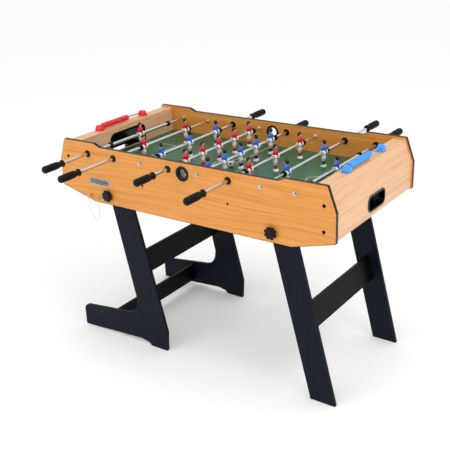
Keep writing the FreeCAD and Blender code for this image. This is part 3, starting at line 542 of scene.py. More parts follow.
def draw_block(name, low, high, top_share, bevel, material, bevel_segments=3):
    """A block between two corners whose top is drawn in by a share, with all edges rounded."""
    deselect()
    low, high = Vector(low) * MM, Vector(high) * MM
    middle = (low + high) / 2
    bpy.ops.mesh.primitive_cube_add(size=1.0, location=middle, enter_editmode=True)
    bpy.ops.transform.resize(value=high - low, center_override=middle)
    bpy.ops.object.mode_set(mode="OBJECT")
    select_vertices(bpy.context.object.data, lambda place: place.z > 0)
    bpy.ops.object.mode_set(mode="EDIT")
    bpy.ops.transform.resize(value=(top_share[0], top_share[1], 1.0), center_override=middle)
    bpy.ops.mesh.select_all(action="SELECT")
    bpy.ops.mesh.bevel(offset=bevel * MM, segments=bevel_segments, affect="EDGES")
    bpy.ops.object.mode_set(mode="OBJECT")
    return settle(name, material)


def apply_modifier(piece, kind, **settings):
    """Add a modifier, set it and apply it."""
    pick(piece)
    modifier = piece.modifiers.new(kind.title(), kind)
    for key, value in settings.items():
        setattr(modifier, key, value)
    bpy.ops.object.modifier_apply(modifier=modifier.name)
    return piece


def cut(piece, cutter):
    """Take a cutter's shape out of a piece, and remove the cutter."""
    apply_modifier(piece, "BOOLEAN", object=cutter, operation="DIFFERENCE", solver="EXACT")
    discard(cutter)
    return piece


def joined(name, pieces):
    """Several meshes as one object."""
    pick(*pieces)
    if len(pieces) > 1:
        bpy.ops.object.join()
    pieces[0].name = name
    pieces[0].data.name = name
    return pieces[0]


def copied(piece, name, move=(0.0, 0.0, 0.0), half_turn=False, mirror_y=False):
    """A copy with its own mesh, turned half round Z or mirrored in Y if asked, and then moved."""
    pick(piece)
    bpy.ops.object.duplicate()
    copy = bpy.context.object
    copy.name = name
    place = Matrix.Translation(Vector(move) * MM)
    if half_turn:
        place = place @ Matrix.Rotation(math.pi, 4, "Z")
    if mirror_y:
        place = place @ Matrix.Diagonal((1.0, -1.0, 1.0, 1.0))
    copy.matrix_world = place
    bpy.ops.object.transform_apply(location=True, rotation=True, scale=True)
    if mirror_y:
        bpy.ops.object.mode_set(mode="EDIT")
        bpy.ops.mesh.select_all(action="SELECT")
        bpy.ops.mesh.normals_make_consistent(inside=False)
        bpy.ops.object.mode_set(mode="OBJECT")
    return copy


def discard(*pieces):
    """Remove pieces that were only patterns for copies."""
    for piece in pieces:
        bpy.data.objects.remove(piece)


def place_in(piece, body, slot, *nodes):
    """Let the piece ride on its body and stand for CAD nodes; the slot is not used."""
    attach(piece, body)
    if nodes:
        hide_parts(*nodes)


def refinish(material, *nodes):
    """Give CAD nodes a finish."""
    for node in nodes:
        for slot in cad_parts[node].material_slots:
            slot.material = finish(material)


def in_mm(vector):
    """A point in millimetres."""
    return Vector(vector) / MM


def box_mm(node):
    """The lowest and highest corner of a CAD node, in millimetres."""
    return [in_mm(corner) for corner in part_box(node)]


def stack(name, rows, material, segments=28, smooth=35.0):
    """A skin through level rings, each as (x, y, z, half depth, half width)."""
    return draw_rings(name, "Z", [((x, y, z), (depth, width, 1.0)) for x, y, z, depth, width in rows],
                      material, segments, smooth=smooth)


# ---------------------------------------------------------------- sizes and colours a user would change

class FoosballSizes(bpy.types.PropertyGroup):
    """Sizes of the pieces that are modelled round the frame"""

    rib_count: bpy.props.IntProperty(
        name="Grip ribs", description="Moulded ribs round each grip", default=8, min=3, max=14)
    rib_depth: bpy.props.FloatProperty(
        name="Rib depth", description="How far the ribs stand up from the grip", default=2.3 * MM,
        unit="LENGTH", precision=4)
    notch_share: bpy.props.FloatProperty(
        name="Knob notch", description="Radius at the notches of a clamp knob, as a share of its radius",
        default=0.84, min=0.6, max=1.0, subtype="FACTOR")
    ball_seam: bpy.props.FloatProperty(
        name="Ball seam", description="Width of the groove between the ball's panels", default=0.35 * MM,
        unit="LENGTH", precision=5)
    key_power: bpy.props.FloatProperty(
        name="Key light", description="Power of the main soft light", default=40.0, unit="POWER")
    fill_power: bpy.props.FloatProperty(
        name="Fill light", description="Power of the soft light from the other side", default=28.0,
        unit="POWER")
    sky: bpy.props.FloatProperty(
        name="Studio white", description="Brightness of the white studio all round", default=0.84)


class FoosballColours(bpy.types.PropertyGroup):
    """Colours of the studio round the table"""

    floor: bpy.props.FloatVectorProperty(
        name="Floor", description="Colour of the floor", subtype="COLOR", size=4, default=linear("#F7F7F6"))
    studio: bpy.props.FloatVectorProperty(
        name="Studio", description="Colour of the walls and the light", subtype="COLOR", size=4,
        default=linear("#FFFFFF"))


# ---------------------------------------------------------------- operators, one for each piece or group

class FOOSBALL_OT_stage(bpy.types.Operator):
    """Set up the camera, the pale floor and the soft studio light"""

    bl_idname = "foosball.stage"
    bl_label = "Stage"

    def execute(self, context):
        sizes = context.scene.foosball_sizes
        colours = context.scene.foosball_colours
        context.scene.view_settings.view_transform = "Standard"
        self.aim_camera(context)
        self.lay_floor(colours)
        self.hang_lights(context, sizes, colours)
        return {"FINISHED"}

    def aim_camera(self, context):
        """A camera on a sphere round its target, rolled a little about its own line of sight."""
        azimuth = math.radians(CAMERA_AZIMUTH)
        elevation = math.radians(CAMERA_ELEVATION)
        roll = math.radians(CAMERA_ROLL)
        back = Vector((math.sin(azimuth) * math.cos(elevation), -math.cos(azimuth) * math.cos(elevation),
                       math.sin(elevation)))
        level = Vector((math.cos(azimuth), math.sin(azimuth), 0.0))
        upright = back.cross(level)
        right = level * math.cos(roll) + upright * math.sin(roll)
        up = upright * math.cos(roll) - level * math.sin(roll)
        data = bpy.data.cameras.new("camera")
        data.lens = CAMERA_LENS
        data.sensor_width = 36.0
        data.shift_x, data.shift_y = CAMERA_SHIFT
        data.clip_start = 0.05
        data.clip_end = 200.0
        camera = bpy.data.objects.new("camera", data)
        context.collection.objects.link(camera)
        place = Matrix((right, up, back)).transposed().to_4x4()
        place.translation = Vector(CAMERA_TARGET) * MM + back * CAMERA_DISTANCE * MM
        camera.matrix_world = place
        context.scene.camera = camera

    def lay_floor(self, colours):
        """A wide pale floor just under the feet."""
        deselect()
        bpy.ops.mesh.primitive_plane_add(size=60.0, location=(0.0, 0.0, CAD_BOX[0].z - 0.0005))
        floor = bpy.context.object
        floor.name = "floor"
        settings = {"Roughness": 0.9, "Specular IOR Level": 0.1, "Base Color": colours.floor,
                    "Emission Color": colours.floor, "Emission Strength": 0.14}
        floor.data.materials.append(new_material("studio_floor", settings)[0])

    def hang_lights(self, context, sizes, colours):
        """A white studio, brightest overhead, with a big soft light and a weaker one across from it."""
        world = bpy.data.worlds.new("studio")
        world.use_nodes = True
        background = world.node_tree.nodes["Background"]
        background.inputs["Color"].default_value = colours.studio
        direction = add_node(world.node_tree, "ShaderNodeTexCoord")
        split = add_node(world.node_tree, "ShaderNodeSeparateXYZ", {}, {"Vector": (direction, "Generated")})
        glow = add_node(world.node_tree, "ShaderNodeMapRange",
                        {"To Min": sizes.sky * 0.8, "To Max": sizes.sky * 1.2},
                        {"Value": (split, "Z")})
        world.node_tree.links.new(glow.outputs["Result"], background.inputs["Strength"])
        context.scene.world = world
        target = Vector((0.0, 0.0, 0.7))
        for name, place, power, width in (
            ("key", Vector((2.9, -0.6, 3.0)), sizes.key_power, 2.4),
            ("fill", Vector((-1.2, -3.4, 2.2)), sizes.fill_power, 2.6),
        ):
            data = bpy.data.lights.new(name, "AREA")
            data.energy = power
            data.size = width
            data.color = colours.studio[:3]
            light = bpy.data.objects.new(name, data)
            context.collection.objects.link(light)
            aim = (target - place).to_track_quat("-Z", "Y")
            light.matrix_world = Matrix.Translation(place) @ aim.to_matrix().to_4x4()


class FOOSBALL_OT_lanyard(bpy.types.Operator):
    """Lay the lock pin's lanyard from its ring to the screw eye"""

    bl_idname = "foosball.lanyard"
    bl_label = "Lanyard"

    def execute(self, context):
        route = [Vector(point) * MM for point in LANYARD_ROUTE]
        curve = bpy.data.curves.new("lanyard", "CURVE")
        curve.dimensions = "3D"
        curve.resolution_u = 24
        spline = curve.splines.new("NURBS")
        spline.points.add(len(route) - 1)
        for point, place in zip(spline.points, route):
            point.co = (*place, 1.0)
        spline.order_u = 3
        spline.use_endpoint_u = True
        line = bpy.data.objects.new("lanyard", curve)
        context.collection.objects.link(line)
        context.view_layer.update()
        path = [vertex.co.copy() for vertex in bpy.data.meshes.new_from_object(line).vertices]
        turns = LANYARD_LENGTH / LANYARD_LAY
        for number, point in enumerate(spline.points):
            point.tilt = 2 * math.pi * turns * number / (len(route) - 1)
        deselect()
        bpy.ops.curve.primitive_bezier_circle_add(radius=LANYARD_DIAMETER / 2 * MM)
        section = bpy.context.object
        for point in section.data.splines[0].bezier_points:
            point.handle_left_type = point.handle_right_type = "FREE"
            point.handle_left = point.co + (point.handle_left - point.co) * 0.72
            point.handle_right = point.co + (point.handle_right - point.co) * 0.72
        section.data.resolution_u = 4
        curve.bevel_mode = "OBJECT"
        curve.bevel_object = section
        curve.use_fill_caps = True
        curve.resolution_u = 40
        pick(line)
        bpy.ops.object.convert(target="MESH")
        cord = context.object
        discard(section)
        cord = settle("lanyard_cord", "cord", 60.0)
        knots = self.tie_knots(route)
        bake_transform(cord)
        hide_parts("lanyard")
        return {"FINISHED"}

    def tie_knots(self, route):
        """A small round knot under the pin's ring and another under the screw eye."""
        knots = []
        for name, body, top, below in (("lanyard_knot_pin", "pin", route[0], route[1]),
                                       ("lanyard_knot_eye", "cabinet", route[-1], route[-2])):
            down = (below - top).normalized()
            profile = ((1.0, 1.0), (1.4, 1.7), (2.4, 2.2), (3.6, 2.2), (4.6, 1.7), (5.0, 1.0))
            rings = [(in_mm(top + down * along * MM), (radius, radius, 1.0)) for along, radius in profile]
            knot = draw_rings(name, "Z", rings, "cord", 16, smooth=60.0)
            place_in(knot, body, "cord_braid")
            knots.append(knot)
        return knots


class FOOSBALL_OT_cabinet(bpy.types.Operator):
    """Finish the box: panels, end boards, pitch, battens, goals and ball returns"""

    bl_idname = "foosball.cabinet"
    bl_label = "Cabinet"

    def execute(self, context):
        refinish("panel_beech", "side_panels")
        refinish("end_beech", "end_boards")
        refinish("edge_band", "edge_trims")
        refinish("pitch", "playfield")
        refinish("pine", "support_battens", "pivot_spacers")
        refinish("black_plastic", "goal_frames", "ball_return_trays", "ball_entry_cups", "rod_bearings")
        refinish("rod_steel", "inner_rods")
        refinish("zinc", "inner_rod_nuts", "lock_pin")
        return {"FINISHED"}


class FOOSBALL_OT_legs(bpy.types.Operator):
    """Finish both legs and set the screws and insert nuts in their boards"""

    bl_idname = "foosball.legs"
    bl_label = "Legs"

    def execute(self, context):
        refinish("leg_board", "stand_leg_boards", "stand_leg_stretchers", "straight_leg_boards",
                 "straight_leg_stretcher")
        for leg, screws in (("stand_leg", STAND_LEG_SCREWS), ("straight_leg", STRAIGHT_LEG_SCREWS)):
            low = in_mm(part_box(leg + "_boards")[0])
            spacer = in_mm(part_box("pivot_spacers")[1])
            self.set_screws(leg, screws, low.y)
            pivot_x = math.copysign(spacer.x - SPACER_RADIUS, screws[0][0])
            self.set_inserts(leg, pivot_x, low.y + LEG_BOARD)
        return {"FINISHED"}

    def set_screws(self, leg, places, face):
        """Countersunk screws level with the outer faces of the leg's two boards."""
        heads = []
        for x, z in places:
            profile = ((1.5, 3.2), (3.5, 0.4), (3.7, 0.0), (3.6, -0.2), (1.6, -0.25), (1.1, 0.9))
            front = turn_on_lathe("screw", profile, (x, face, z), "black_screw", 24)
            heads += [front, copied(front, "screw", mirror_y=True)]
        place_in(joined(leg + "_screws", heads), leg, "steel")

    def set_inserts(self, leg, x, face):
        """The flange of a threaded insert on the inside of each board, where the knob's stud ends."""
        z = in_mm(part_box("knob_stand_front")[0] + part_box("knob_stand_front")[1]).z / 2
        profile = ((4.2, 0.0), (9.0, 0.0), (9.0, 0.7), (8.5, 1.2), (5.4, 1.2), (4.8, 1.0),
                   (4.2, 0.7), (4.2, 0.0))
        front = turn_on_lathe("insert", profile, (x, face, z), "zinc", hollow=True)
        back = copied(front, "insert", mirror_y=True)
        place_in(joined(leg + "_insert_nuts", [front, back]), leg, "steel")


class FOOSBALL_OT_rods(bpy.types.Operator):
    """Finish the chrome tubes and the rubber bumpers"""

    bl_idname = "foosball.rods"
    bl_label = "Rods"

    def execute(self, context):
        for number in range(1, len(RODS) + 1):
            refinish("chrome", "rod_%d_tube" % number)
            refinish("bumper", "rod_%d_bumpers" % number)
        return {"FINISHED"}


class FOOSBALL_OT_handles(bpy.types.Operator):
    """Model the ribbed grips, one for each rod"""

    bl_idname = "foosball.handles"
    bl_label = "Grips"

    def execute(self, context):
        pattern = self.make_grip(context.scene.foosball_sizes)
        for number, (team, _) in enumerate(RODS, 1):
            node = "rod_%d_handle" % number
            low, high = box_mm(node)
            start = high.y if team == "red" else low.y
            middle = (low + high) / 2
            grip = copied(pattern, "grip_%d" % number, (middle.x, start, middle.z), half_turn=team == "blue")
            place_in(grip, "rod_%d" % number, "grip_rubber", node)
        discard(pattern)
        return {"FINISHED"}

    def make_grip(self, sizes):
        """A grip that points to -Y from the origin, with a socket for the tube."""
        low, high = box_mm("rod_1_handle")
        length = high.y - low.y
        radius = (high.x - low.x) / 2
        depth = in_mm((sizes.rib_depth, 0.0, 0.0)).x
        tube_low, tube_high = box_mm("rod_1_tube")
        bore = (tube_high.x - tube_low.x) / 2 + 0.05
        socket = low.y + length - tube_low.y
        guard = [(radius - 2.0, 0.0), (radius - 0.5, 0.5), (radius, 1.8), (radius, 3.8), (radius - 0.7, 5.3),
                 (radius - 2.2, 7.0), (9.9, 9.4), (9.3, 11.2), (9.3, 13.2), (10.2, 16.0), (11.8, 20.0)]
        ribs = []
        first, last = 0.235 * length, 0.84 * length
        pitch = (last - first) / sizes.rib_count
        for number in range(sizes.rib_count):
            swell = radius - 0.8 * (1 - min(1.0, (number + 1) / 3))
            base = first + number * pitch
            for share, height in ((0.06, 0.0), (0.20, 0.0), (0.30, 0.55), (0.42, 0.93),
                                  (0.54, 1.0), (0.72, 1.0), (0.84, 0.93), (0.95, 0.55)):
                ribs.append((swell - depth * (1 - height), base + share * pitch))
        dome = [(radius, length - 14.0), (radius, length - 11.0), (radius - 0.5, length - 8.2),
                (radius - 1.7, length - 5.4), (radius - 3.8, length - 2.9), (radius - 6.8, length - 1.0),
                (radius - 10.2, length - 0.2), (1.6, length)]
        profile = [(bore, socket), (bore, 0.6), (bore + 0.6, 0.0)] + guard + ribs + dome
        return turn_on_lathe("grip", profile, (0.0, 0.0, 0.0), "grip", 48, smooth=50.0, side=-1)


class FOOSBALL_OT_men(bpy.types.Operator):
    """Model the moulded men in both kits and set them on their rods"""

    bl_idname = "foosball.men"
    bl_label = "Men"

    def execute(self, context):
        patterns = {team: self.make_man(team) for team in ("red", "blue")}
        for number, (team, count) in enumerate(RODS, 1):
            node = "rod_%d_men" % number
            low, high = box_mm(node)
            tube_low, tube_high = box_mm("rod_%d_tube" % number)
            x, z = (tube_low.x + tube_high.x) / 2, (tube_low.z + tube_high.z) / 2
            first, last = low.y + HUB_HALF_WIDTH, high.y - HUB_HALF_WIDTH
            men = []
            for place in range(count):
                y = (first + last) / 2 if count == 1 else first + (last - first) * place / (count - 1)
                men.append(copied(patterns[team], "man", (x, y, z), half_turn=team == "blue"))
            place_in(joined("rod_%d_players" % number, men), "rod_%d" % number, "men_" + team, node)
        discard(*patterns.values())
        return {"FINISHED"}

    def make_man(self, team):
        """One man about the rod's axis, facing +X: rings from boots to hair, bored for the tube."""
        shirt, sock = "shirt_" + team, "sock_" + team
        low, high = box_mm("rod_1_tube")
        bore_radius = (high.x - low.x) / 2 + 0.05
        parts = [self.make_boots()]
        for side in (-1, 1):
            y = side * 4.5
            parts.append(stack("sock", (
                (0.0, y, -47.0, 3.9, 3.6), (-0.2, y, -44.0, 4.0, 3.6), (-0.5, y, -39.0, 4.7, 3.9),
                (-0.3, y, -34.6, 4.9, 4.1), (-0.2, y, -33.4, 4.9, 4.1), (-0.2, y, -32.9, 4.3, 3.6)),
                sock, 20))
            parts.append(stack("leg", (
                (-0.2, y, -34.5, 4.0, 3.4), (0.1, y, -32.0, 4.2, 3.5), (0.6, y, -29.5, 4.5, 3.7),
                (0.3, y, -26.5, 4.4, 3.7), (0.0, y, -20.0, 5.0, 4.2)), "skin", 20))
            parts.append(stack("arm", (
                (0.8, side * 11.6, 7.4, 3.2, 2.0), (0.7, side * 11.7, 9.4, 4.1, 2.5),
                (0.3, side * 11.6, 15.0, 4.6, 2.9), (0.0, side * 11.0, 20.0, 4.8, 3.0),
                (0.0, side * 10.0, 23.2, 4.2, 2.9), (0.0, side * 8.6, 25.2, 2.8, 2.2)), shirt, 20))
            parts.append(draw_rings("eye", "X", [
                ((6.6, side * 2.5, 38.0), (1.0, 0.9, 1.0)), ((7.35, side * 2.5, 38.0), (1.0, 0.8, 0.9)),
                ((7.6, side * 2.4, 38.0), (1.0, 0.4, 0.5))], "hair", 10))
        bore, edge = bore_radius + 0.05, 13.4
        parts.append(turn_on_lathe("hub", (
            (bore, -edge), (9.6, -edge), (10.4, -12.6), (10.6, -11.6), (10.6, 11.6), (10.4, 12.6),
            (9.6, edge), (bore, edge), (bore, -edge)), (0.0, 0.0, 0.0), "kit_white", 32, hollow=True))
        shorts = stack("shorts", (
            (0.0, 0.0, -23.0, 5.4, 8.4), (0.0, 0.0, -23.6, 6.3, 9.4), (0.0, 0.0, -22.6, 7.0, 10.2),
            (0.0, 0.0, -17.0, 7.4, 10.4), (0.0, 0.0, -11.0, 8.6, 10.4), (0.0, 0.0, -5.0, 9.6, 10.2),
            (0.0, 0.0, 0.0, 9.6, 9.4)), "kit_white")
        body = stack("shirt", (
            (0.0, 0.0, -10.6, 7.0, 2.4), (0.0, 0.0, -9.8, 10.4, 4.2), (0.0, 0.0, -6.0, 11.4, 6.0),
            (0.0, 0.0, 0.0, 11.7, 7.6), (0.0, 0.0, 6.0, 11.0, 9.0), (0.2, 0.0, 12.0, 9.2, 10.4),
            (0.4, 0.0, 18.0, 8.4, 11.6), (0.3, 0.0, 22.5, 7.4, 11.4), (0.1, 0.0, 25.4, 6.0, 9.0),
            (0.1, 0.0, 27.2, 4.9, 5.8), (0.1, 0.0, 28.4, 4.6, 4.8)), shirt, 32)
        for part, slack in ((shorts, 0.3), (body, 0.15)):
            reach = bore_radius + slack
            cutter = turn_on_lathe("bore", ((reach, -20.0), (reach, 20.0)), (0.0, 0.0, 0.0), None, 48)
            parts.append(cut(part, cutter))
        parts.append(stack("head", (
            (0.0, 0.0, 26.5, 3.7, 3.7), (0.2, 0.0, 29.0, 3.5, 3.5), (0.9, 0.0, 30.2, 4.3, 3.9),
            (0.9, 0.0, 31.6, 5.6, 4.8), (0.5, 0.0, 34.4, 6.5, 5.8), (0.2, 0.0, 37.4, 7.2, 6.5),
            (0.0, 0.0, 40.6, 7.3, 6.7), (-0.2, 0.0, 43.6, 6.4, 6.0), (-0.2, 0.0, 45.6, 4.4, 4.2)),
            "skin", smooth=60.0))
        parts.append(draw_rings("nose", "X", [
            ((6.2, 0.0, 35.8), (1.0, 1.5, 2.0)), ((7.7, 0.0, 35.4), (1.0, 1.1, 1.4)),
            ((8.3, 0.0, 35.1), (1.0, 0.6, 0.8))], "skin", 12, smooth=60.0))
        parts.append(stack("hair", (
            (-2.6, 0.0, 32.4, 4.6, 5.4), (-2.4, 0.0, 33.4, 5.8, 6.4), (-1.9, 0.0, 36.4, 7.0, 7.2),
            (-1.1, 0.0, 39.6, 8.0, 7.6), (-0.5, 0.0, 42.0, 8.2, 7.5), (-0.4, 0.0, 44.8, 7.2, 6.7),
            (-0.4, 0.0, 46.9, 5.0, 4.8), (-0.4, 0.0, 48.0, 2.2, 2.0)), "hair", smooth=60.0))
        return joined("man_" + team, parts)

    def make_boots(self):
        """Two boots side by side, their soles touching, longer at the toe than at the heel."""
        return joined("boots", [stack("boot", (
            (1.0, y, -56.0, 8.6, 3.8), (1.0, y, -55.2, 9.6, 4.6), (1.0, y, -53.6, 9.8, 4.7),
            (0.6, y, -51.4, 9.0, 4.5), (-0.4, y, -49.6, 7.2, 4.2), (-1.2, y, -48.0, 5.4, 4.0),
            (-1.0, y, -46.2, 4.6, 3.9)), "kit_white", 24) for y in (-4.6, 4.6)])


class FOOSBALL_OT_ball(bpy.types.Operator):
    """Model the little panelled football"""

    bl_idname = "foosball.ball"
    bl_label = "Ball"

    def execute(self, context):
        low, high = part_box("ball")
        centre = (low + high) / 2
        radius = (high.x - low.x) / 2
        deselect()
        bpy.ops.mesh.primitive_ico_sphere_add(subdivisions=1, radius=radius, enter_editmode=True)
        bpy.ops.mesh.bevel(offset_type="PERCENT", offset_pct=100 / 3, affect="VERTICES")
        bpy.ops.mesh.select_all(action="SELECT")
        bpy.ops.mesh.inset(thickness=context.scene.foosball_sizes.ball_seam, use_individual=True)
        bpy.ops.object.mode_set(mode="OBJECT")
        ball = context.object
        ball.data.materials.append(finish("ball_white"))
        ball.data.materials.append(finish("ball_black"))
        for face in ball.data.polygons:
            face.material_index = 1 if len(face.vertices) == 5 else 0
        bpy.ops.object.mode_set(mode="EDIT")
        bpy.ops.mesh.poke()
        bpy.ops.mesh.subdivide(number_cuts=4)
        bpy.ops.mesh.select_all(action="SELECT")
        bpy.ops.transform.tosphere(value=1.0)
        bpy.ops.object.mode_set(mode="OBJECT")
        reach = max(vertex.co.length for vertex in ball.data.vertices)
        ball.matrix_world = Matrix.Translation(centre) @ Matrix.Rotation(0.5, 4, (0.4, 1.0, 0.2)) \
            @ Matrix.Scale(radius / reach, 4)
        ball = settle("ball_panelled", None, 60.0)
        place_in(ball, "ball", "ball_plastic", "ball")
        return {"FINISHED"}


class FOOSBALL_OT_knobs(bpy.types.Operator):
    """Model the lobed clamp knobs with their steel studs"""

    bl_idname = "foosball.knobs"
    bl_label = "Clamp knobs"

    def execute(self, context):
        sizes = context.scene.foosball_sizes
        for leg in ("stand", "straight"):
            node = "knob_%s_front" % leg
            low, high = box_mm(node)
            centre = ((low.x + high.x) / 2, low.y, (low.z + high.z) / 2)
            front = self.make_knob(sizes, centre, (high.x - low.x) / 2, high.y - low.y)
            back = copied(front, leg + "_clamp_knob_back", mirror_y=True)
            front.name = leg + "_clamp_knob_front"
            place_in(front, leg + "_knob_front", "black_plastic", node)
            place_in(back, leg + "_knob_back", "black_plastic", "knob_%s_back" % leg)
        return {"FINISHED"}

    def make_knob(self, sizes, centre, radius, reach):
        """A domed knob with eight lobes, drawn from its outer face inwards along +Y."""
        shares = ((0.30, 1.4), (0.34, 0.9), (0.40, 0.7), (0.62, 1.0), (0.82, 2.2), (0.94, 4.4), (1.0, 7.4),
                  (1.0, 11.5), (0.98, 14.0), (0.92, 15.6), (0.80, 16.0), (0.64, 16.2), (0.62, 17.2),
                  (0.62, 19.4), (0.60, 20.0))
        profile = [(radius * share, along) for share, along in shares] + [(4.6, 20.0)]
        knob = turn_on_lathe("knob", profile, centre, "black_plastic", 64, smooth=60.0)
        x, y, z = (value * MM for value in centre)
        lobes = 8

        def near_notch(place, low, high):
            across, above = place.x - x, place.z - z
            turn = math.atan2(above, across) * lobes / (2 * math.pi)
            outer = math.hypot(across, above) > 0.55 * radius * MM and place.y < y + 16.1 * MM
            return outer and low <= abs(turn - round(turn)) * 2 < high

        for share, low, high in ((sizes.notch_share, 0.0, 0.26), ((1 + sizes.notch_share) / 2, 0.26, 0.52)):
            pick(knob)
            select_vertices(knob.data, lambda place: near_notch(place, low, high))
            bpy.ops.object.mode_set(mode="EDIT")
            bpy.ops.transform.resize(value=(share, 1.0, share), center_override=(x, y, z))
            bpy.ops.object.mode_set(mode="OBJECT")
        apply_modifier(knob, "SUBSURF", levels=1, render_levels=1)
        stud = turn_on_lathe("stud", ((4.0, 19.0), (4.0, reach - 1.0), (3.2, reach)), centre, "zinc", 32)
        return joined("knob", [knob, stud])


class FOOSBALL_OT_counters(bpy.types.Operator):
    """Model both bead counters: rails with end blocks, and ten beads on each"""

    bl_idname = "foosball.counters"
    bl_label = "Score counters"

    def execute(self, context):
        rail_low, rail_high = box_mm("score_rails")
        for team in ("red", "blue"):
            low, high = box_mm("score_beads_" + team)
            x, z = (low.x + high.x) / 2, (low.z + high.z) / 2
            rail = self.make_rail(team, x, z, rail_low, rail_high)
            place_in(rail, "cabinet", "score_" + team, "score_rails")
            beads = self.make_beads(team, x, z, low, high)
            place_in(beads, team + "_beads", "score_" + team, "score_beads_" + team)
        return {"FINISHED"}

    def make_rail(self, team, x, z, low, high):
        """Two tapered blocks on the end board's shelf, joined by a round bar."""
        finish_name = "score_" + team
        half_width = high.x - abs(x)
        length = 30.0
        blocks = []
        for start in (low.y, high.y - length):
            corners = (x - half_width, start, low.z), (x + half_width, start + length, high.z)
            blocks.append(draw_block("block", *corners, (0.70, 0.66), 3.2, finish_name, 4))
        bar = turn_on_lathe("bar", ((2.5, low.y + length / 2), (2.5, high.y - length / 2)), (x, 0.0, z),
                            finish_name, 20)
        return joined("score_rail_" + team, blocks + [bar])

    def make_beads(self, team, x, z, low, high):
        """Ten rounded beads side by side."""
        count = 10
        radius = (high.x - low.x) / 2
        pitch = 15.2
        thickness = high.y - low.y - pitch * (count - 1)
        near = [(2.65, 0.5), (3.4, 0.0), (radius - 3.6, 0.0), (radius - 1.6, 0.7), (radius - 0.4, 2.2),
                (radius, 4.4)]
        far = [(reach, thickness - along) for reach, along in reversed(near)]
        profile = near + far + near[:1]
        pattern = turn_on_lathe("bead", profile, (x, low.y, z), "score_" + team, 40, hollow=True, smooth=60.0)
        beads = [copied(pattern, "bead", (0.0, number * pitch, 0.0)) for number in range(count)]
        discard(pattern)
        return joined("score_beads_%s_turned" % team, beads)


class FOOSBALL_OT_screws(bpy.types.Operator):
    """Model the domed cabinet screws with their cross slots, and the screw eye"""

    bl_idname = "foosball.screws"
    bl_label = "Cabinet screws"

    def execute(self, context):
        face = box_mm("side_panels")[0].y
        heads = []
        for share, places in ((1.0, [(side * 561.0, z) for side in (-1, 1) for z in (678.0, 767.0)]),
                              (0.7, [(-190.0, 706.0), (190.0, 706.0)])):
            pattern = self.make_screw(share)
            for x, z in places:
                front = copied(pattern, "screw", (x, face, z))
                heads += [front, copied(front, "screw", mirror_y=True)]
            discard(pattern)
        place_in(joined("cabinet_screw_set", heads), "cabinet", "steel", "cabinet_screws")
        self.make_eye(face)
        return {"FINISHED"}

    def make_screw(self, share):
        """A screw that points to +Y, its domed head on the face at the origin and a share of full size."""
        shank = ((0.6, 30.0), (2.0, 26.0), (2.0, 0.0))
        dome = ((6.0, 0.0), (6.2, -0.5), (5.8, -1.4), (4.8, -2.1), (3.2, -2.6), (1.2, -2.8))
        profile = shank + tuple((radius * share, along * share) for radius, along in dome)
        screw = turn_on_lathe("screw", profile, (0.0, 0.0, 0.0), "black_screw", 24, smooth=50.0)
        for turn in (0.0, math.pi / 2):
            deselect()
            top = (0.0, -2.8 * share * MM, 0.0)
            bpy.ops.mesh.primitive_cube_add(size=1.0, location=top, enter_editmode=True)
            bpy.ops.transform.resize(value=(5.8 * share * MM, 2.8 * share * MM, 1.2 * share * MM),
                                     center_override=top)
            bpy.ops.object.mode_set(mode="OBJECT")
            slot = context_object_turned(turn)
            cut(screw, slot)
        return screw

    def make_eye(self, face):
        """A bent wire ring on a short shank."""
        low = Vector(LANYARD_ROUTE[-1])
        centre = Vector((low.x, low.y, SCREW_EYE_HEIGHT))
        deselect()
        bpy.ops.mesh.primitive_torus_add(location=centre * MM, rotation=TURN["X"], major_radius=4.0 * MM,
                                         minor_radius=1.2 * MM, major_segments=40, minor_segments=14)
        ring = settle("ring", "zinc", 60.0)
        shank = turn_on_lathe("shank", ((2.6, -2.0), (2.6, 0.0), (1.5, 0.2), (1.5, 12.0)),
                              (centre.x, face, centre.z), "zinc", 20)
        place_in(joined("lanyard_screw_eye", [ring, shank]), "cabinet", "steel", "cabinet_screws")


def context_object_turned(turn):
    """Turn the object just made about Y and put the turn into its mesh."""
    piece = bpy.context.object
    piece.matrix_world = Matrix.Rotation(turn, 4, "Y") @ piece.matrix_world
    bpy.ops.object.transform_apply(location=True, rotation=True, scale=True)
    return piece


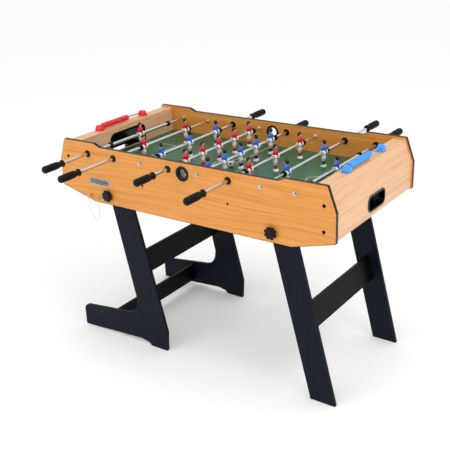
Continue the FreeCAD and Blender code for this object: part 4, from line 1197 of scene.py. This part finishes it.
class FOOSBALL_OT_plate(bpy.types.Operator):
    """Model the plain plate on the front panel, with a pin in each corner"""

    bl_idname = "foosball.plate"
    bl_label = "Plate"

    def execute(self, context):
        low, high = box_mm("name_plate")
        plate = draw_block("plate", low, high, (1.0, 1.0), 0.5, "plate")
        profile = ((1.0, 1.4), (1.0, 0.3), (1.5, 0.2), (1.5, -0.1), (1.1, -0.45), (0.4, -0.6))
        pins = [turn_on_lathe("pin", profile, (x, low.y, z), "zinc", 16, smooth=60.0)
                for x in (low.x + 5.5, high.x - 5.5) for z in (low.z + 5.5, high.z - 5.5)]
        place_in(joined("plain_name_plate", [plate] + pins), "cabinet", "plate_metal", "name_plate")
        return {"FINISHED"}


# ---------------------------------------------------------------- panel, registration and the run

class FOOSBALL_PT_panel(bpy.types.Panel):
    """The pieces of the table, each with its button"""

    bl_label = "Foosball table"
    bl_idname = "FOOSBALL_PT_panel"
    bl_space_type = "VIEW_3D"
    bl_region_type = "UI"
    bl_category = "Foosball"

    def draw(self, context):
        layout = self.layout
        for group in (context.scene.foosball_sizes, context.scene.foosball_colours):
            for name in group.__annotations__:
                layout.prop(group, name)
        for operator in OPERATORS:
            layout.operator(operator.bl_idname)


OPERATORS = (
    FOOSBALL_OT_stage, FOOSBALL_OT_lanyard, FOOSBALL_OT_cabinet, FOOSBALL_OT_legs, FOOSBALL_OT_rods,
    FOOSBALL_OT_handles, FOOSBALL_OT_men, FOOSBALL_OT_ball, FOOSBALL_OT_knobs, FOOSBALL_OT_counters,
    FOOSBALL_OT_screws, FOOSBALL_OT_plate,
)
CLASSES = (FoosballSizes, FoosballColours) + OPERATORS + (FOOSBALL_PT_panel,)


def register():
    for cls in CLASSES:
        bpy.utils.register_class(cls)
    bpy.types.Scene.foosball_sizes = bpy.props.PointerProperty(type=FoosballSizes)
    bpy.types.Scene.foosball_colours = bpy.props.PointerProperty(type=FoosballColours)


def unregister():
    del bpy.types.Scene.foosball_colours
    del bpy.types.Scene.foosball_sizes
    for cls in reversed(CLASSES):
        bpy.utils.unregister_class(cls)


def main():
    """Register the classes and make every piece in order."""
    register()
    for operator in OPERATORS:
        group, name = operator.bl_idname.split(".")
        getattr(getattr(bpy.ops, group), name)()


if __name__ == "__main__":
    main()
